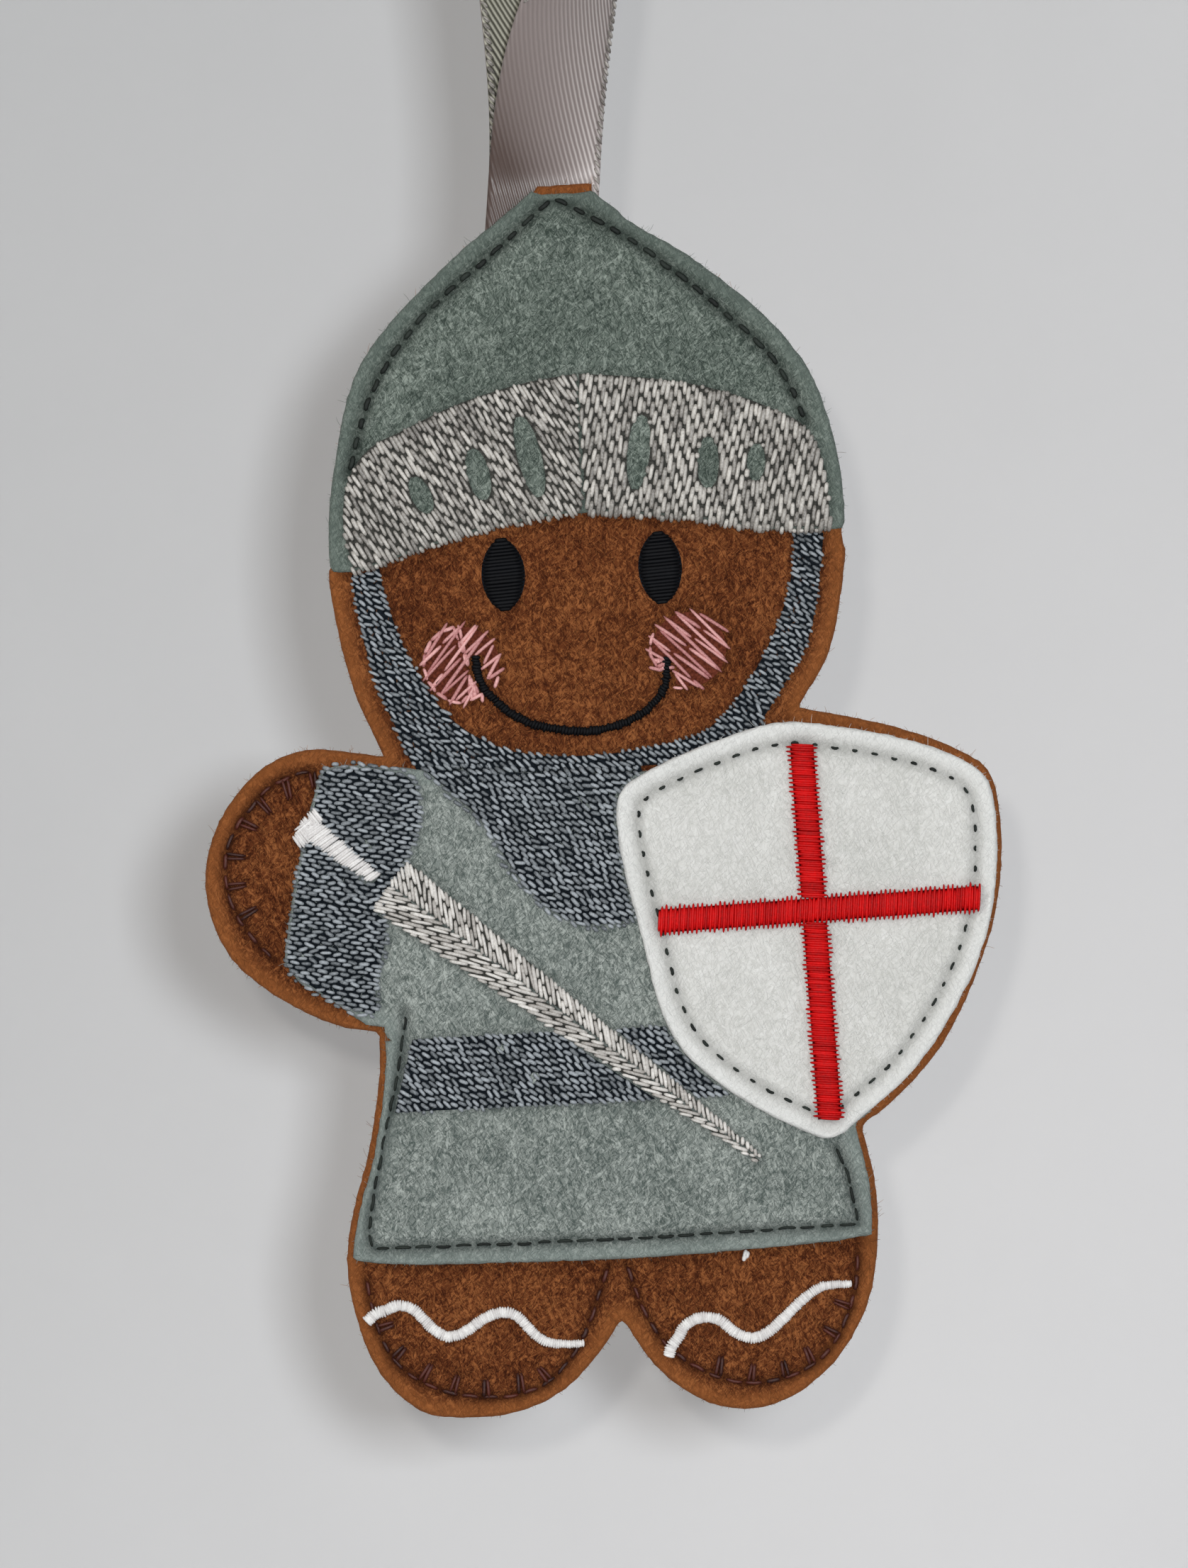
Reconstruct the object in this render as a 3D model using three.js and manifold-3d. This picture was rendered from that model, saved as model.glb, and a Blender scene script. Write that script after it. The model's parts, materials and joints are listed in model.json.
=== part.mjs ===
// Felt gingerbread figure in a helmet and tunic, with a sword, a shield and a ribbon loop to hang it by.
// Lengths are millimetres, +Z is up and the front faces -Y. The origin is where a hook carries the loop.
import * as THREE from 'three';
import { mergeVertices } from 'three/addons/utils/BufferGeometryUtils.js';
import Module from 'manifold-3d';

const wasm = await Module();
wasm.setup();

// Figure
const head_half_width = 25.6;
const head_height = 54.6;
const arm_reach = 39.4;
const chest_height = 27.4;
const skirt_half_width = 26.2;
const leg_height = 39;

// Felt sheets and backing
const body_felt = 1.4;
const patch_felt = 1.2;
const shield_felt = 1.2;
const backing = 0.3;
const hood_inset = 0.5;
const tunic_inset = 0.6;
const backing_inset = 3;

// Embroidery
const mail_rise = 0.35;
const visor_rise = 0.5;
const satin_rise = 0.55;
const satin_width = 2.7;
const icing_width = 1;
const icing_rise = 0.6;
const smile_width = 1;
const smile_rise = 0.45;
const eye_half_width = 2.1;
const eye_half_height = 3.65;
const cheek_radius = 3.9;
const cheek_rise = 0.35;
const coif_reach = 8;
const coif_margin = 2.3;
const belt_height = 7.1;

// Running stitches
const thread_width = 0.45;
const thread_rise = 0.3;
const stitch_pitch = 2;
const stitch_sink = 0.05;
const shield_margin = 2.1;
const seam_margin = 2.4;

// Sword
const blade_width = 5.7;
const grip_width = 1.6;
const pommel_length = 3.4;
const pommel_width = 1.5;

// Ribbon
const ribbon_width = 11;
const ribbon_thickness = 0.3;
const loop_rise = 70;
const loop_radius = 9;
const loop_bow = 4.5;
const twist_height = 45;
const tail_depth = 16;
const seam_offset = 2.4;
const hinge_rise = 2;
const hinge_gap = 0.45;

// Clearances
const seat_gap = 0.3;
const overrun = 5;

// Faces of the layers along Y, from the back to the front
const back_face = body_felt - ribbon_thickness;
const backing_back = -ribbon_thickness;
const backing_front = backing_back - backing;
const body_front = backing_front - body_felt;
const patch_front = body_front - patch_felt;
const shield_front = patch_front - shield_felt;

// Shares of the head's half width and height, of the chest's, or of the skirt's, become places in millimetres
const head = ([u, v]) => [u * head_half_width, -v * head_height];
const chest = ([u, v]) => [u * arm_reach, -head_height - v * chest_height];
const skirt = ([u, v]) => [u * skirt_half_width, -head_height - chest_height - v * leg_height];

const head_right_shares = [[0.11, -0.01], [0.21, 0.06], [0.45, 0.14], [0.74, 0.26], [0.91, 0.36],
  [0.99, 0.49], [1.01, 0.6], [0.98, 0.73], [0.91, 0.86], [0.78, 0.955]];
const head_left_shares = [[-0.82, 1.005], [-0.925, 0.88], [-0.985, 0.735], [-1, 0.62], [-0.97, 0.495],
  [-0.89, 0.36], [-0.72, 0.25], [-0.51, 0.155], [-0.32, 0.065], [-0.13, -0.01]];
const arm_right_shares = [[0.51, -0.09], [0.73, -0.01], [0.88, 0.075], [0.975, 0.17], [1, 0.36],
  [0.98, 0.66], [0.91, 0.93], [0.82, 1.16], [0.705, 1.33], [0.61, 1.43]];
const arm_left_shares = [[-0.58, 1], [-0.69, 0.965], [-0.835, 0.85], [-0.945, 0.7], [-0.995, 0.49],
  [-0.985, 0.32], [-0.93, 0.16], [-0.835, 0.025], [-0.725, -0.03], [-0.61, -0.01], [-0.535, 0.01]];
const leg_right_shares = [[0.92, 0.3], [0.96, 0.435], [0.96, 0.585], [0.915, 0.74], [0.785, 0.885],
  [0.59, 0.98], [0.425, 1], [0.265, 0.97], [0.1, 0.88], [0.01, 0.785], [-0.02, 0.755]];
const leg_left_shares = [[-0.02, 0.755], [-0.105, 0.835], [-0.265, 0.935], [-0.45, 0.98], [-0.62, 0.985],
  [-0.785, 0.965], [-0.94, 0.86], [-1.015, 0.72], [-1.04, 0.575], [-1, 0.435], [-0.94, 0.31],
  [-0.88, 0.1], [-0.875, 0]];

const visor_lower_shares = [[-0.98, 0.668], [-0.87, 0.667], [-0.73, 0.648], [-0.57, 0.626],
  [-0.41, 0.608], [-0.23, 0.593], [-0.01, 0.584], [0.21, 0.593], [0.445, 0.608], [0.68, 0.63],
  [0.945, 0.637], [1.05, 0.638]];
const visor_left_shares = [[-0.02, 0.333], [-0.195, 0.344], [-0.37, 0.363], [-0.52, 0.386],
  [-0.68, 0.419], [-0.81, 0.447], [-0.9, 0.5], [-0.93, 0.585], [-0.9, 0.663]];
const visor_right_shares = [[0, 0.333], [0.13, 0.339], [0.305, 0.35], [0.445, 0.363], [0.6, 0.385],
  [0.74, 0.414], [0.85, 0.443], [0.91, 0.487], [0.935, 0.55], [0.945, 0.634]];
const face_shares = [[-0.77, 0.5], [-0.8, 0.665], [-0.77, 0.74], [-0.69, 0.845], [-0.54, 0.95],
  [-0.32, 1.008], [-0.02, 1.022], [0.21, 1.012], [0.43, 0.987], [0.62, 0.888], [0.75, 0.77], [0.8, 0.665],
  [0.77, 0.5]];
const collar_shares = [[-0.8, 1.018], [-0.68, 1.026], [-0.375, 1.038], [-0.02, 1.05], [0.29, 1.05],
  [0.55, 1.045]];

const smile_shares = [[-0.45, 0.835], [-0.44, 0.868], [-0.4, 0.905], [-0.26, 0.957], [-0.13, 0.973],
  [-0.01, 0.978], [0.1, 0.968], [0.2, 0.945], [0.275, 0.905], [0.285, 0.855]];
const eye_shares = { left: [-0.325, 0.688], right: [0.28, 0.69] };
const cheek_shares = { left: [-0.5, 0.845], right: [0.375, 0.84] };

// Each slot of the visor: its centre, its width and length as shares of the longest slot, and its lean
const slot_length = 8.2;
const slot_shares = {
  left: [[-0.625, 0.537, 0.2, 0.46, 0.4], [-0.4, 0.505, 0.23, 0.62, 0.2], [-0.2, 0.478, 0.25, 1, 0.2]],
  right: [[0.22, 0.48, 0.23, 0.9, -0.15], [0.485, 0.505, 0.22, 0.6, -0.05],
    [0.67, 0.509, 0.18, 0.42, -0.1]],
};

const cuff_shares = [[-0.81, 0.73], [-0.78, 0.5], [-0.735, 0.24], [-0.69, 0.04]];
const sleeve_under_shares = [[-0.55, 1.03], [-0.65, 0.93], [-0.71, 0.86], [-0.77, 0.81], [-0.81, 0.73]];
const shoulder_shares = [[-0.69, 0.04], [-0.61, 0.035], [-0.52, 0.05]];
const sleeve_end_shares = [[-0.52, 0.05], [-0.46, 0.095], [-0.445, 0.2], [-0.46, 0.31], [-0.5, 0.42],
  [-0.54, 0.59], [-0.55, 0.7], [-0.58, 0.83], [-0.575, 0.905], [-0.66, 0.88], [-0.81, 0.73]];
const hidden_edge_shares = [[0.365, 0.115], [0.64, 0.12], [0.85, 0.21], [0.92, 0.34], [0.9, 0.64],
  [0.82, 0.94], [0.7, 1.18], [0.6, 1.33]];
const tunic_corner_shares = { right: [1.05, 0.3], left: [-1.08, 0.05] };
const hem_shares = [[1.05, 0.545], [0.935, 0.575], [0.435, 0.597], [-0.02, 0.603], [-0.48, 0.597],
  [-0.9, 0.585], [-1.08, 0.56]];
const mail_bib_shares = [[-0.435, 0.062], [-0.325, 0.21], [-0.275, 0.3], [-0.225, 0.44], [-0.135, 0.59],
  [-0.04, 0.65], [0.085, 0.63], [0.2, 0.55], [0.29, 0.13]];
const shield_shares = [[0.045, 0.2], [0.07, 0.155], [0.18, 0.075], [0.32, 0.005], [0.46, -0.04],
  [0.6, -0.015], [0.75, 0.035], [0.865, 0.095], [0.96, 0.18], [0.985, 0.29], [0.98, 0.55], [0.945, 0.78],
  [0.865, 1.01], [0.745, 1.24], [0.62, 1.385], [0.535, 1.465], [0.45, 1.42], [0.3, 1.29], [0.18, 1.13],
  [0.125, 0.97], [0.09, 0.725], [0.05, 0.44], [0.04, 0.3]];
const cross_shares = {
  top: [0.512, 0.08], bottom: [0.532, 1.335], left: [0.147, 0.652], right: [0.92, 0.629],
};

const sword_shares = {
  pommel: [-0.742, 0.235], grip_end: [-0.573, 0.442], blade: [-0.535, 0.471], tip: [0.355, 1.526],
};
const blade_taper_shares = [[0, 1], [0.3, 0.75], [0.58, 0.52], [0.82, 0.31], [1, 0.1]];
const belt_shares = { top_left: [-0.75, 0.022], bottom_left: [-0.83, 0.2], right: [0.55, 0.2] };

const hood_stitch_shares = [[-0.85, 0.42], [-0.83, 0.39], [-0.77, 0.325], [-0.695, 0.275], [-0.57, 0.21],
  [-0.43, 0.155], [-0.195, 0.073], [-0.035, 0.022]];
const hood_stitch_right_shares = [[-0.035, 0.022], [0.15, 0.07], [0.37, 0.147], [0.615, 0.253],
  [0.725, 0.304], [0.805, 0.363], [0.84, 0.405]];
const side_stitch_shares = [[-0.77, -0.045], [-0.815, 0.12], [-0.9, 0.333], [-0.95, 0.49],
  [-0.955, 0.545]];
const hem_stitch_shares = [[-0.955, 0.545], [-0.5, 0.55], [-0.02, 0.552], [0.45, 0.55], [0.89, 0.546]];
const side_stitch_right_shares = [[0.89, 0.546], [0.87, 0.46], [0.84, 0.38], [0.82, 0.35]];
const hand_stitch_shares = [[-0.715, 0.05], [-0.8, 0.075], [-0.875, 0.17], [-0.94, 0.32], [-0.94, 0.48],
  [-0.89, 0.63], [-0.835, 0.72]];
const foot_stitch_shares = {
  left: [[-0.97, 0.62], [-0.95, 0.72], [-0.885, 0.83], [-0.74, 0.905], [-0.525, 0.938], [-0.315, 0.913],
    [-0.19, 0.82], [-0.115, 0.72], [-0.06, 0.62]],
  right: [[0.01, 0.62], [0.055, 0.72], [0.135, 0.82], [0.265, 0.895], [0.48, 0.936], [0.695, 0.897],
    [0.81, 0.81], [0.865, 0.71], [0.88, 0.62]],
};
const icing_shares = {
  left: [[-0.91, 0.705], [-0.86, 0.692], [-0.8, 0.703], [-0.74, 0.749], [-0.68, 0.777], [-0.615, 0.769],
    [-0.525, 0.733], [-0.45, 0.723], [-0.405, 0.738], [-0.35, 0.782], [-0.3, 0.805], [-0.23, 0.812]],
  right: [[0.19, 0.81], [0.22, 0.779], [0.28, 0.762], [0.345, 0.769], [0.405, 0.805], [0.465, 0.821],
    [0.525, 0.81], [0.6, 0.769], [0.68, 0.723], [0.74, 0.7], [0.81, 0.697]],
};

const colours = {
  gingerbread: new THREE.MeshStandardMaterial({ color: 0x824b23, roughness: 0.95, metalness: 0 }),
  back: new THREE.MeshStandardMaterial({ color: 0xa8662c, roughness: 0.95, metalness: 0 }),
  backing: new THREE.MeshStandardMaterial({ color: 0xe8e6e0, roughness: 0.9, metalness: 0 }),
  grey: new THREE.MeshStandardMaterial({ color: 0x788782, roughness: 0.95, metalness: 0 }),
  white: new THREE.MeshStandardMaterial({ color: 0xe1e1dc, roughness: 0.95, metalness: 0 }),
  visor: new THREE.MeshStandardMaterial({ color: 0xbeb9b4, roughness: 0.5, metalness: 0 }),
  mail: new THREE.MeshStandardMaterial({ color: 0x646e73, roughness: 0.55, metalness: 0 }),
  red: new THREE.MeshStandardMaterial({ color: 0xcd0a0f, roughness: 0.45, metalness: 0 }),
  black: new THREE.MeshStandardMaterial({ color: 0x141419, roughness: 0.5, metalness: 0 }),
  pink: new THREE.MeshStandardMaterial({ color: 0xc8828c, roughness: 0.45, metalness: 0 }),
  icing: new THREE.MeshStandardMaterial({ color: 0xebe6e6, roughness: 0.45, metalness: 0 }),
  seam: new THREE.MeshStandardMaterial({ color: 0x32140f, roughness: 0.7, metalness: 0 }),
  ribbon: new THREE.MeshStandardMaterial({ color: 0x91827f, roughness: 0.35, metalness: 0 }),
};

// Curves and outlines in the plane of the felt
const curve_steps = 3;
const sharpest_corner_share = 0.5;

// A smooth run of points through the given places
function smooth(places, steps = curve_steps) {
  const corners = places.map(([x, z]) => new THREE.Vector3(x, 0, z));
  const curve = new THREE.CatmullRomCurve3(corners, false, 'centripetal');
  return curve.getPoints(steps * (places.length - 1)).map((point) => [point.x, point.z]);
}

// Runs that meet at corners become one list of points
function join(...runs) {
  const same = (a, b) => Math.hypot(a[0] - b[0], a[1] - b[1]) < thread_width;
  const points = [];
  for (const point of runs.flat()) {
    if (!points.length || !same(point, points.at(-1))) points.push(point);
  }
  return points;
}

// A closed outline, without a second copy of its first point
function outline(...runs) {
  const points = join(...runs);
  const [first, last] = [points[0], points.at(-1)];
  if (Math.hypot(first[0] - last[0], first[1] - last[1]) < thread_width) points.pop();
  return points;
}

// The inward direction at each point, lengthened at corners so that both sides move alike
function inward(points, closed) {
  const count = points.length;
  const turn = THREE.ShapeUtils.isClockWise(points.map(([x, z]) => new THREE.Vector2(x, z))) ? -1 : 1;
  const side = (a, b) => {
    const length = Math.hypot(b[0] - a[0], b[1] - a[1]);
    return [-turn * (b[1] - a[1]) / length, turn * (b[0] - a[0]) / length];
  };
  return points.map((point, i) => {
    const before = closed || i > 0 ? side(points[(i + count - 1) % count], point) : null;
    const after = closed || i < count - 1 ? side(point, points[(i + 1) % count]) : null;
    const [a, b] = [before ?? after, after ?? before];
    const spread = Math.max(1 + a[0] * b[0] + a[1] * b[1], sharpest_corner_share);
    return [(a[0] + b[0]) / spread, (a[1] + b[1]) / spread];
  });
}

const inset = (points, distance) => {
  const directions = inward(points, true);
  return points.map(([x, z], i) => [x + directions[i][0] * distance, z + directions[i][1] * distance]);
};

// The outline of a band of the given width along an open path
function band(path, width) {
  const sides = inward(path, false);
  const edge = (reach) => path.map(([x, z], i) => [x + sides[i][0] * reach, z + sides[i][1] * reach]);
  return [...edge(width / 2), ...edge(-width / 2).reverse()];
}

// Points at even distances along a path
function paced(path, spacing, closed = false) {
  const points = (closed ? [...path, path[0]] : path).map(([x, z]) => new THREE.Vector3(x, 0, z));
  const line = new THREE.CurvePath();
  for (let i = 1; i < points.length; i += 1) line.add(new THREE.LineCurve3(points[i - 1], points[i]));
  const count = 2 * Math.max(1, Math.round(line.getLength() / spacing / 2));
  const spaced = line.getSpacedPoints(count).map((point) => [point.x, point.z]);
  return closed ? spaced.slice(0, -1) : spaced;
}

// Solids
// A flat sheet of the given outline between two faces along Y
function sheet(points, near, far, holes = []) {
  const shape = new THREE.Shape(points.map(([x, z]) => new THREE.Vector2(x, z)));
  shape.holes = holes.map((hole) => new THREE.Path(hole.map(([x, z]) => new THREE.Vector2(x, z))));
  const geometry = new THREE.ExtrudeGeometry(shape, { depth: 1, bevelEnabled: false, steps: 1 });
  geometry.deleteAttribute('normal');
  geometry.deleteAttribute('uv');
  const place = geometry.attributes.position;
  for (let i = 0; i < place.count; i += 1) {
    const [x, z, level] = [place.getX(i), place.getY(i), place.getZ(i)];
    place.setXYZ(i, x, level > 0 ? Math.min(near, far) : Math.max(near, far), z);
  }
  return mergeVertices(geometry);
}

// A closed solid from rings of points, closed by its end rings or by running back to its start.
// Facing sides of the section are split along the same diagonal, so that a twisted strip keeps its thickness.
function loft(rings, round = false) {
  const sides = rings[0].length;
  const corners = rings.flat().flat();
  const index = [];
  const spans = round ? rings.length : rings.length - 1;
  for (let i = 0; i < spans; i += 1) {
    const [here, there] = [i * sides, ((i + 1) % rings.length) * sides];
    for (let k = 0; k < sides; k += 1) {
      const next = (k + 1) % sides;
      if (k < sides / 2) index.push(here + k, here + next, there + next, here + k, there + next, there + k);
      else index.push(here + k, here + next, there + k, here + next, there + next, there + k);
    }
  }
  if (!round) {
    const last = (rings.length - 1) * sides;
    for (let k = 1; k < sides - 1; k += 1) {
      index.push(0, k + 1, k);
      index.push(last, last + k, last + k + 1);
    }
  }
  const geometry = new THREE.BufferGeometry();
  geometry.setAttribute('position', new THREE.Float32BufferAttribute(corners, 3));
  geometry.setIndex(index);
  return facingOut(geometry);
}

// Turns every face over where the solid's volume comes out negative
function facingOut(geometry) {
  const [a, b, c] = [new THREE.Vector3(), new THREE.Vector3(), new THREE.Vector3()];
  const index = [...geometry.index.array];
  let volume = 0;
  for (let i = 0; i < index.length; i += 3) {
    a.fromBufferAttribute(geometry.attributes.position, index[i]);
    b.fromBufferAttribute(geometry.attributes.position, index[i + 1]);
    c.fromBufferAttribute(geometry.attributes.position, index[i + 2]);
    volume += a.dot(b.cross(c));
  }
  if (volume < 0) {
    for (let i = 0; i < index.length; i += 3) [index[i], index[i + 2]] = [index[i + 2], index[i]];
  }
  geometry.setIndex(index);
  return geometry;
}

// Crown of an embroidered column across its width: shares of the half width and of the rise
const satin_profile_shares = [[-1, 0], [1, 0], [0.8, 0.6], [0, 1], [-0.8, 0.6]];
const thread_profile_shares = [[-1, 0], [1, 0], [0, 1]];
const groove_profile_shares = [[-1, 0], [1, 0], [1, 1], [-1, 1]];

// A raised bead along a path, standing on the face at the given level towards the front or the back
function bead(path, { level, width, rise, toward = -1, profile = satin_profile_shares, closed = false }) {
  const sides = inward(path, closed);
  const rings = path.map(([x, z], i) => {
    const half = (typeof width === 'function' ? width(i / (path.length - 1)) : width) / 2;
    const crown = typeof rise === 'function' ? rise(i) : rise;
    return profile.map(([across, up]) => [x + sides[i][0] * across * half, level + toward * up * crown,
      z + sides[i][1] * across * half]);
  });
  return loft(rings, closed);
}

// A seam of running stitches: the thread stands up in the middle of a stitch and dips where it goes through
const dip_share = 0.35;
function runningStitch(path, { level, toward = -1, closed = false }) {
  return bead(paced(path, stitch_pitch / 2, closed), {
    level, toward, closed, width: thread_width, profile: thread_profile_shares,
    rise: (i) => (i % 2 ? thread_rise : thread_rise * dip_share),
  });
}

function toManifold(geometry) {
  const plain = new THREE.BufferGeometry();
  plain.setAttribute('position', geometry.attributes.position);
  if (geometry.index) plain.setIndex(geometry.index);
  const merged = mergeVertices(plain);
  return new wasm.Manifold(new wasm.Mesh({
    numProp: 3,
    vertProperties: new Float32Array(merged.attributes.position.array),
    triVerts: new Uint32Array(merged.index.array),
  }));
}

function toGeometry(solid) {
  const mesh = solid.getMesh();
  const geometry = new THREE.BufferGeometry();
  geometry.setAttribute('position', new THREE.BufferAttribute(new Float32Array(mesh.vertProperties), 3));
  geometry.setIndex([...mesh.triVerts]);
  return geometry;
}

// What is left of a solid outside all of the tools
function cut(geometry, ...tools) {
  return toGeometry(tools.reduce((solid, tool) => solid.subtract(toManifold(tool)), toManifold(geometry)));
}

// What is left of a solid inside each of the tools
function keep(geometry, ...tools) {
  return toGeometry(tools.reduce((solid, tool) => solid.intersect(toManifold(tool)), toManifold(geometry)));
}

// A cutter runs past both faces of the front layers
const cutter = (points) => sheet(points, back_face + overrun, shield_front - overrun);

// Outlines of the felt
const head_right = smooth(head_right_shares.map(head));
const head_left = smooth(head_left_shares.map(head));
const arm_right = smooth([head(head_right_shares.at(-1)), ...arm_right_shares.slice(1, -1).map(chest),
  skirt(leg_right_shares[0])]);
const arm_left = smooth([...arm_left_shares.slice(0, -1).map(chest), head(head_left_shares[0])]);
const body_outline = outline(head_right, arm_right, smooth(leg_right_shares.map(skirt)),
  smooth(leg_left_shares.map(skirt)), arm_left, head_left);
const shield_outline = outline(smooth([...shield_shares, shield_shares[0]].map(chest)));
const visor_lower = smooth(visor_lower_shares.map(head));
const collar = smooth(collar_shares.map(head));

// An edge moved up or down, run on past both sides of the figure, or closed off above it or below it
const shifted = (points, rise) => points.map(([x, z]) => [x, z + rise]);
const side_x = arm_reach + overrun;
const widened = (edge) => [[-side_x, edge[0][1]], ...edge, [side_x, edge.at(-1)[1]]];
const closedAt = (edge, level) => [...edge, [edge.at(-1)[0], level], [edge[0][0], level]];
const above = (edge) => closedAt(edge, overrun);
const below = (edge) => closedAt(edge, -head_height - chest_height - leg_height - overrun);

const group = new THREE.Group();
const figure = new THREE.Group();
figure.position.set(0, 0, -loop_rise);
group.add(figure);

function add(name, geometry, material, parent = figure) {
  const mesh = new THREE.Mesh(geometry, material);
  mesh.name = name;
  geometry.computeVertexNormals();
  parent.add(mesh);
  return mesh;
}

// Ribbon: two strands rise from the seam, bow apart, turn to face sideways and meet in a round top
const strand_offset = ribbon_thickness / 2 + seat_gap / 2;
const arc_level = loop_rise + ribbon_thickness / 2 - loop_radius;
const strand_handle_shares = [0.33, 0.66];
const strand_steps = 28;
const arc_steps = 12;
const lean_power = 3;
const quarter_turn = Math.PI / 2;
const twist_ease_share = 0.35;

const seamLine = (z) => -seam_offset * (1 - Math.min(1, z / arc_level)) ** lean_power;
function twist(z) {
  const share = Math.min(1, z / twist_height);
  return quarter_turn * (share - twist_ease_share * Math.sin(2 * Math.PI * share) / (2 * Math.PI));
}

function ribbonCentre(spread, z) {
  const angle = twist(z);
  return new THREE.Vector3(seamLine(z) + spread * Math.sin(angle), -spread * Math.cos(angle), z);
}

const ribbon_corners = [[-1, -1], [1, -1], [1, 1], [-1, 1]];
function ribbonLoop() {
  const strand = new THREE.CubicBezierCurve(
    new THREE.Vector2(strand_offset, hinge_rise + hinge_gap),
    new THREE.Vector2(loop_bow, arc_level * strand_handle_shares[0]),
    new THREE.Vector2(loop_radius, arc_level * strand_handle_shares[1]),
    new THREE.Vector2(loop_radius, arc_level),
  ).getPoints(strand_steps);
  const path = strand.map((point) => ribbonCentre(point.x, point.y));
  for (let i = 1; i < arc_steps; i += 1) {
    const angle = Math.PI * i / arc_steps;
    path.push(ribbonCentre(loop_radius * Math.cos(angle), arc_level + loop_radius * Math.sin(angle)));
  }
  path.push(...strand.map((point) => ribbonCentre(-point.x, point.y)).reverse());
  const rings = path.map((centre, i) => {
    const onward = path[Math.min(i + 1, path.length - 1)].clone().sub(path[Math.max(i - 1, 0)]).normalize();
    const across = new THREE.Vector3(Math.cos(twist(centre.z)), Math.sin(twist(centre.z)), 0);
    across.addScaledVector(onward, -across.dot(onward)).normalize();
    const out = new THREE.Vector3().crossVectors(onward, across);
    return ribbon_corners.map(([u, v]) => centre.clone()
      .addScaledVector(across, u * ribbon_width / 2)
      .addScaledVector(out, v * ribbon_thickness / 2)
      .toArray());
  });
  return loft(rings);
}

// The ribbon's cut ends go down between the felt panels, straight on from the lean of the loop
const tail_top = hinge_rise - seat_gap;
const tailPlace = (z) => [seamLine(0) * (1 - lean_power * z / arc_level), z];
const tail_path = [tailPlace(-tail_depth), tailPlace(tail_top)];
add('hanging_ribbon', ribbonLoop(), colours.ribbon);
add('ribbon_tail_front', sheet(band(tail_path, ribbon_width), -ribbon_thickness, 0), colours.ribbon);
add('ribbon_tail_back', sheet(band(tail_path, ribbon_width), 0, ribbon_thickness), colours.ribbon);

// Felt body: two panels with the backing and the ribbon's ends between them
const backing_steps = 2;
const pocket = band([tailPlace(-tail_depth - seat_gap), tailPlace(overrun)], ribbon_width + 2 * seat_gap);
const backing_outline = inset(body_outline, backing_inset).filter((point, i) => i % backing_steps === 0);
const groove_floor = back_face - stitch_sink - thread_rise;
const back_seam = inset(body_outline, seam_margin);
const groove = bead(back_seam, {
  level: groove_floor,
  toward: 1,
  closed: true,
  width: thread_width + 2 * seat_gap,
  rise: overrun,
  profile: groove_profile_shares,
});
add('back_felt', cut(sheet(body_outline, backing_back, back_face), sheet(pocket, -overrun, ribbon_thickness),
  groove), colours.back);
add('backing_sheet', sheet(backing_outline, backing_front, backing_back), colours.backing);
add('front_felt', sheet(body_outline, body_front, backing_front), colours.gingerbread);

// Felt patches: hood, tunic and shield
const hood_area = above(widened(visor_lower));
const hood = sheet(inset(body_outline, hood_inset), patch_front, body_front);
add('hood_felt', keep(hood, cutter(hood_area)), colours.grey);
const cuff = smooth(cuff_shares.map(chest));
const sleeve_under = smooth(sleeve_under_shares.map(chest));
const shoulder = smooth(shoulder_shares.map(chest));
const tunic_outline = outline(shifted(collar.slice(1), -seat_gap), smooth(hidden_edge_shares.map(chest)),
  [skirt(tunic_corner_shares.right)], smooth(hem_shares.map(skirt)), [skirt(tunic_corner_shares.left)],
  sleeve_under, cuff, shoulder);
const tunic = sheet(inset(body_outline, tunic_inset), patch_front, body_front);
add('tunic_felt', keep(tunic, cutter(tunic_outline)), colours.grey);
add('shield_felt', sheet(shield_outline, shield_front, patch_front), colours.white);

// Visor: two fields of stitching with slots, meeting at the middle of the hood
const slot_steps = 10;
function slot([u, v, wide, long, lean]) {
  const [x, z] = head([u, v]);
  return Array.from({ length: slot_steps }, (_, i) => {
    const angle = 2 * Math.PI * i / slot_steps;
    const across = Math.cos(angle) * wide * slot_length / 2;
    const up = Math.sin(angle) * long * slot_length / 2;
    return [
      x + across * Math.cos(lean) - up * Math.sin(lean),
      z + across * Math.sin(lean) + up * Math.cos(lean),
    ];
  });
}
const visor_middle = head(visor_right_shares[0])[0];
for (const [side, edge_shares, sign] of [['left', visor_left_shares, -1], ['right', visor_right_shares, 1]]) {
  const edge = smooth(edge_shares.map(head));
  const seam_x = visor_middle + sign * seat_gap / 2;
  const lower = visor_lower.filter(([x]) => sign * x > sign * seam_x && sign * x < sign * edge.at(-1)[0]);
  const raised = shifted(sign < 0 ? lower : lower.reverse(), seat_gap);
  const middle_top = [seam_x, edge[0][1]];
  const middle_bottom = [seam_x, raised.at(-1)[1]];
  const area = outline([middle_top], edge.slice(1), raised, [middle_bottom]);
  const slots = slot_shares[side].map(slot);
  add(`visor_${side}`, sheet(area, patch_front - visor_rise, patch_front, slots), colours.visor);
}

// Mail: the coif round the face, the bib, the sleeve and the belt
const face = outline(smooth(face_shares.map(head)));
const under_visor = cutter(below(widened(shifted(visor_lower, -seat_gap))));
const over_collar = cutter(above(widened(shifted(collar, seat_gap))));
const coif_band = cut(sheet(inset(face, -coif_reach), body_front - mail_rise, body_front), cutter(face));
const within_edge = cutter(inset(body_outline, coif_margin));
add('coif_mail', keep(coif_band, within_edge, under_visor, over_collar), colours.mail);

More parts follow.
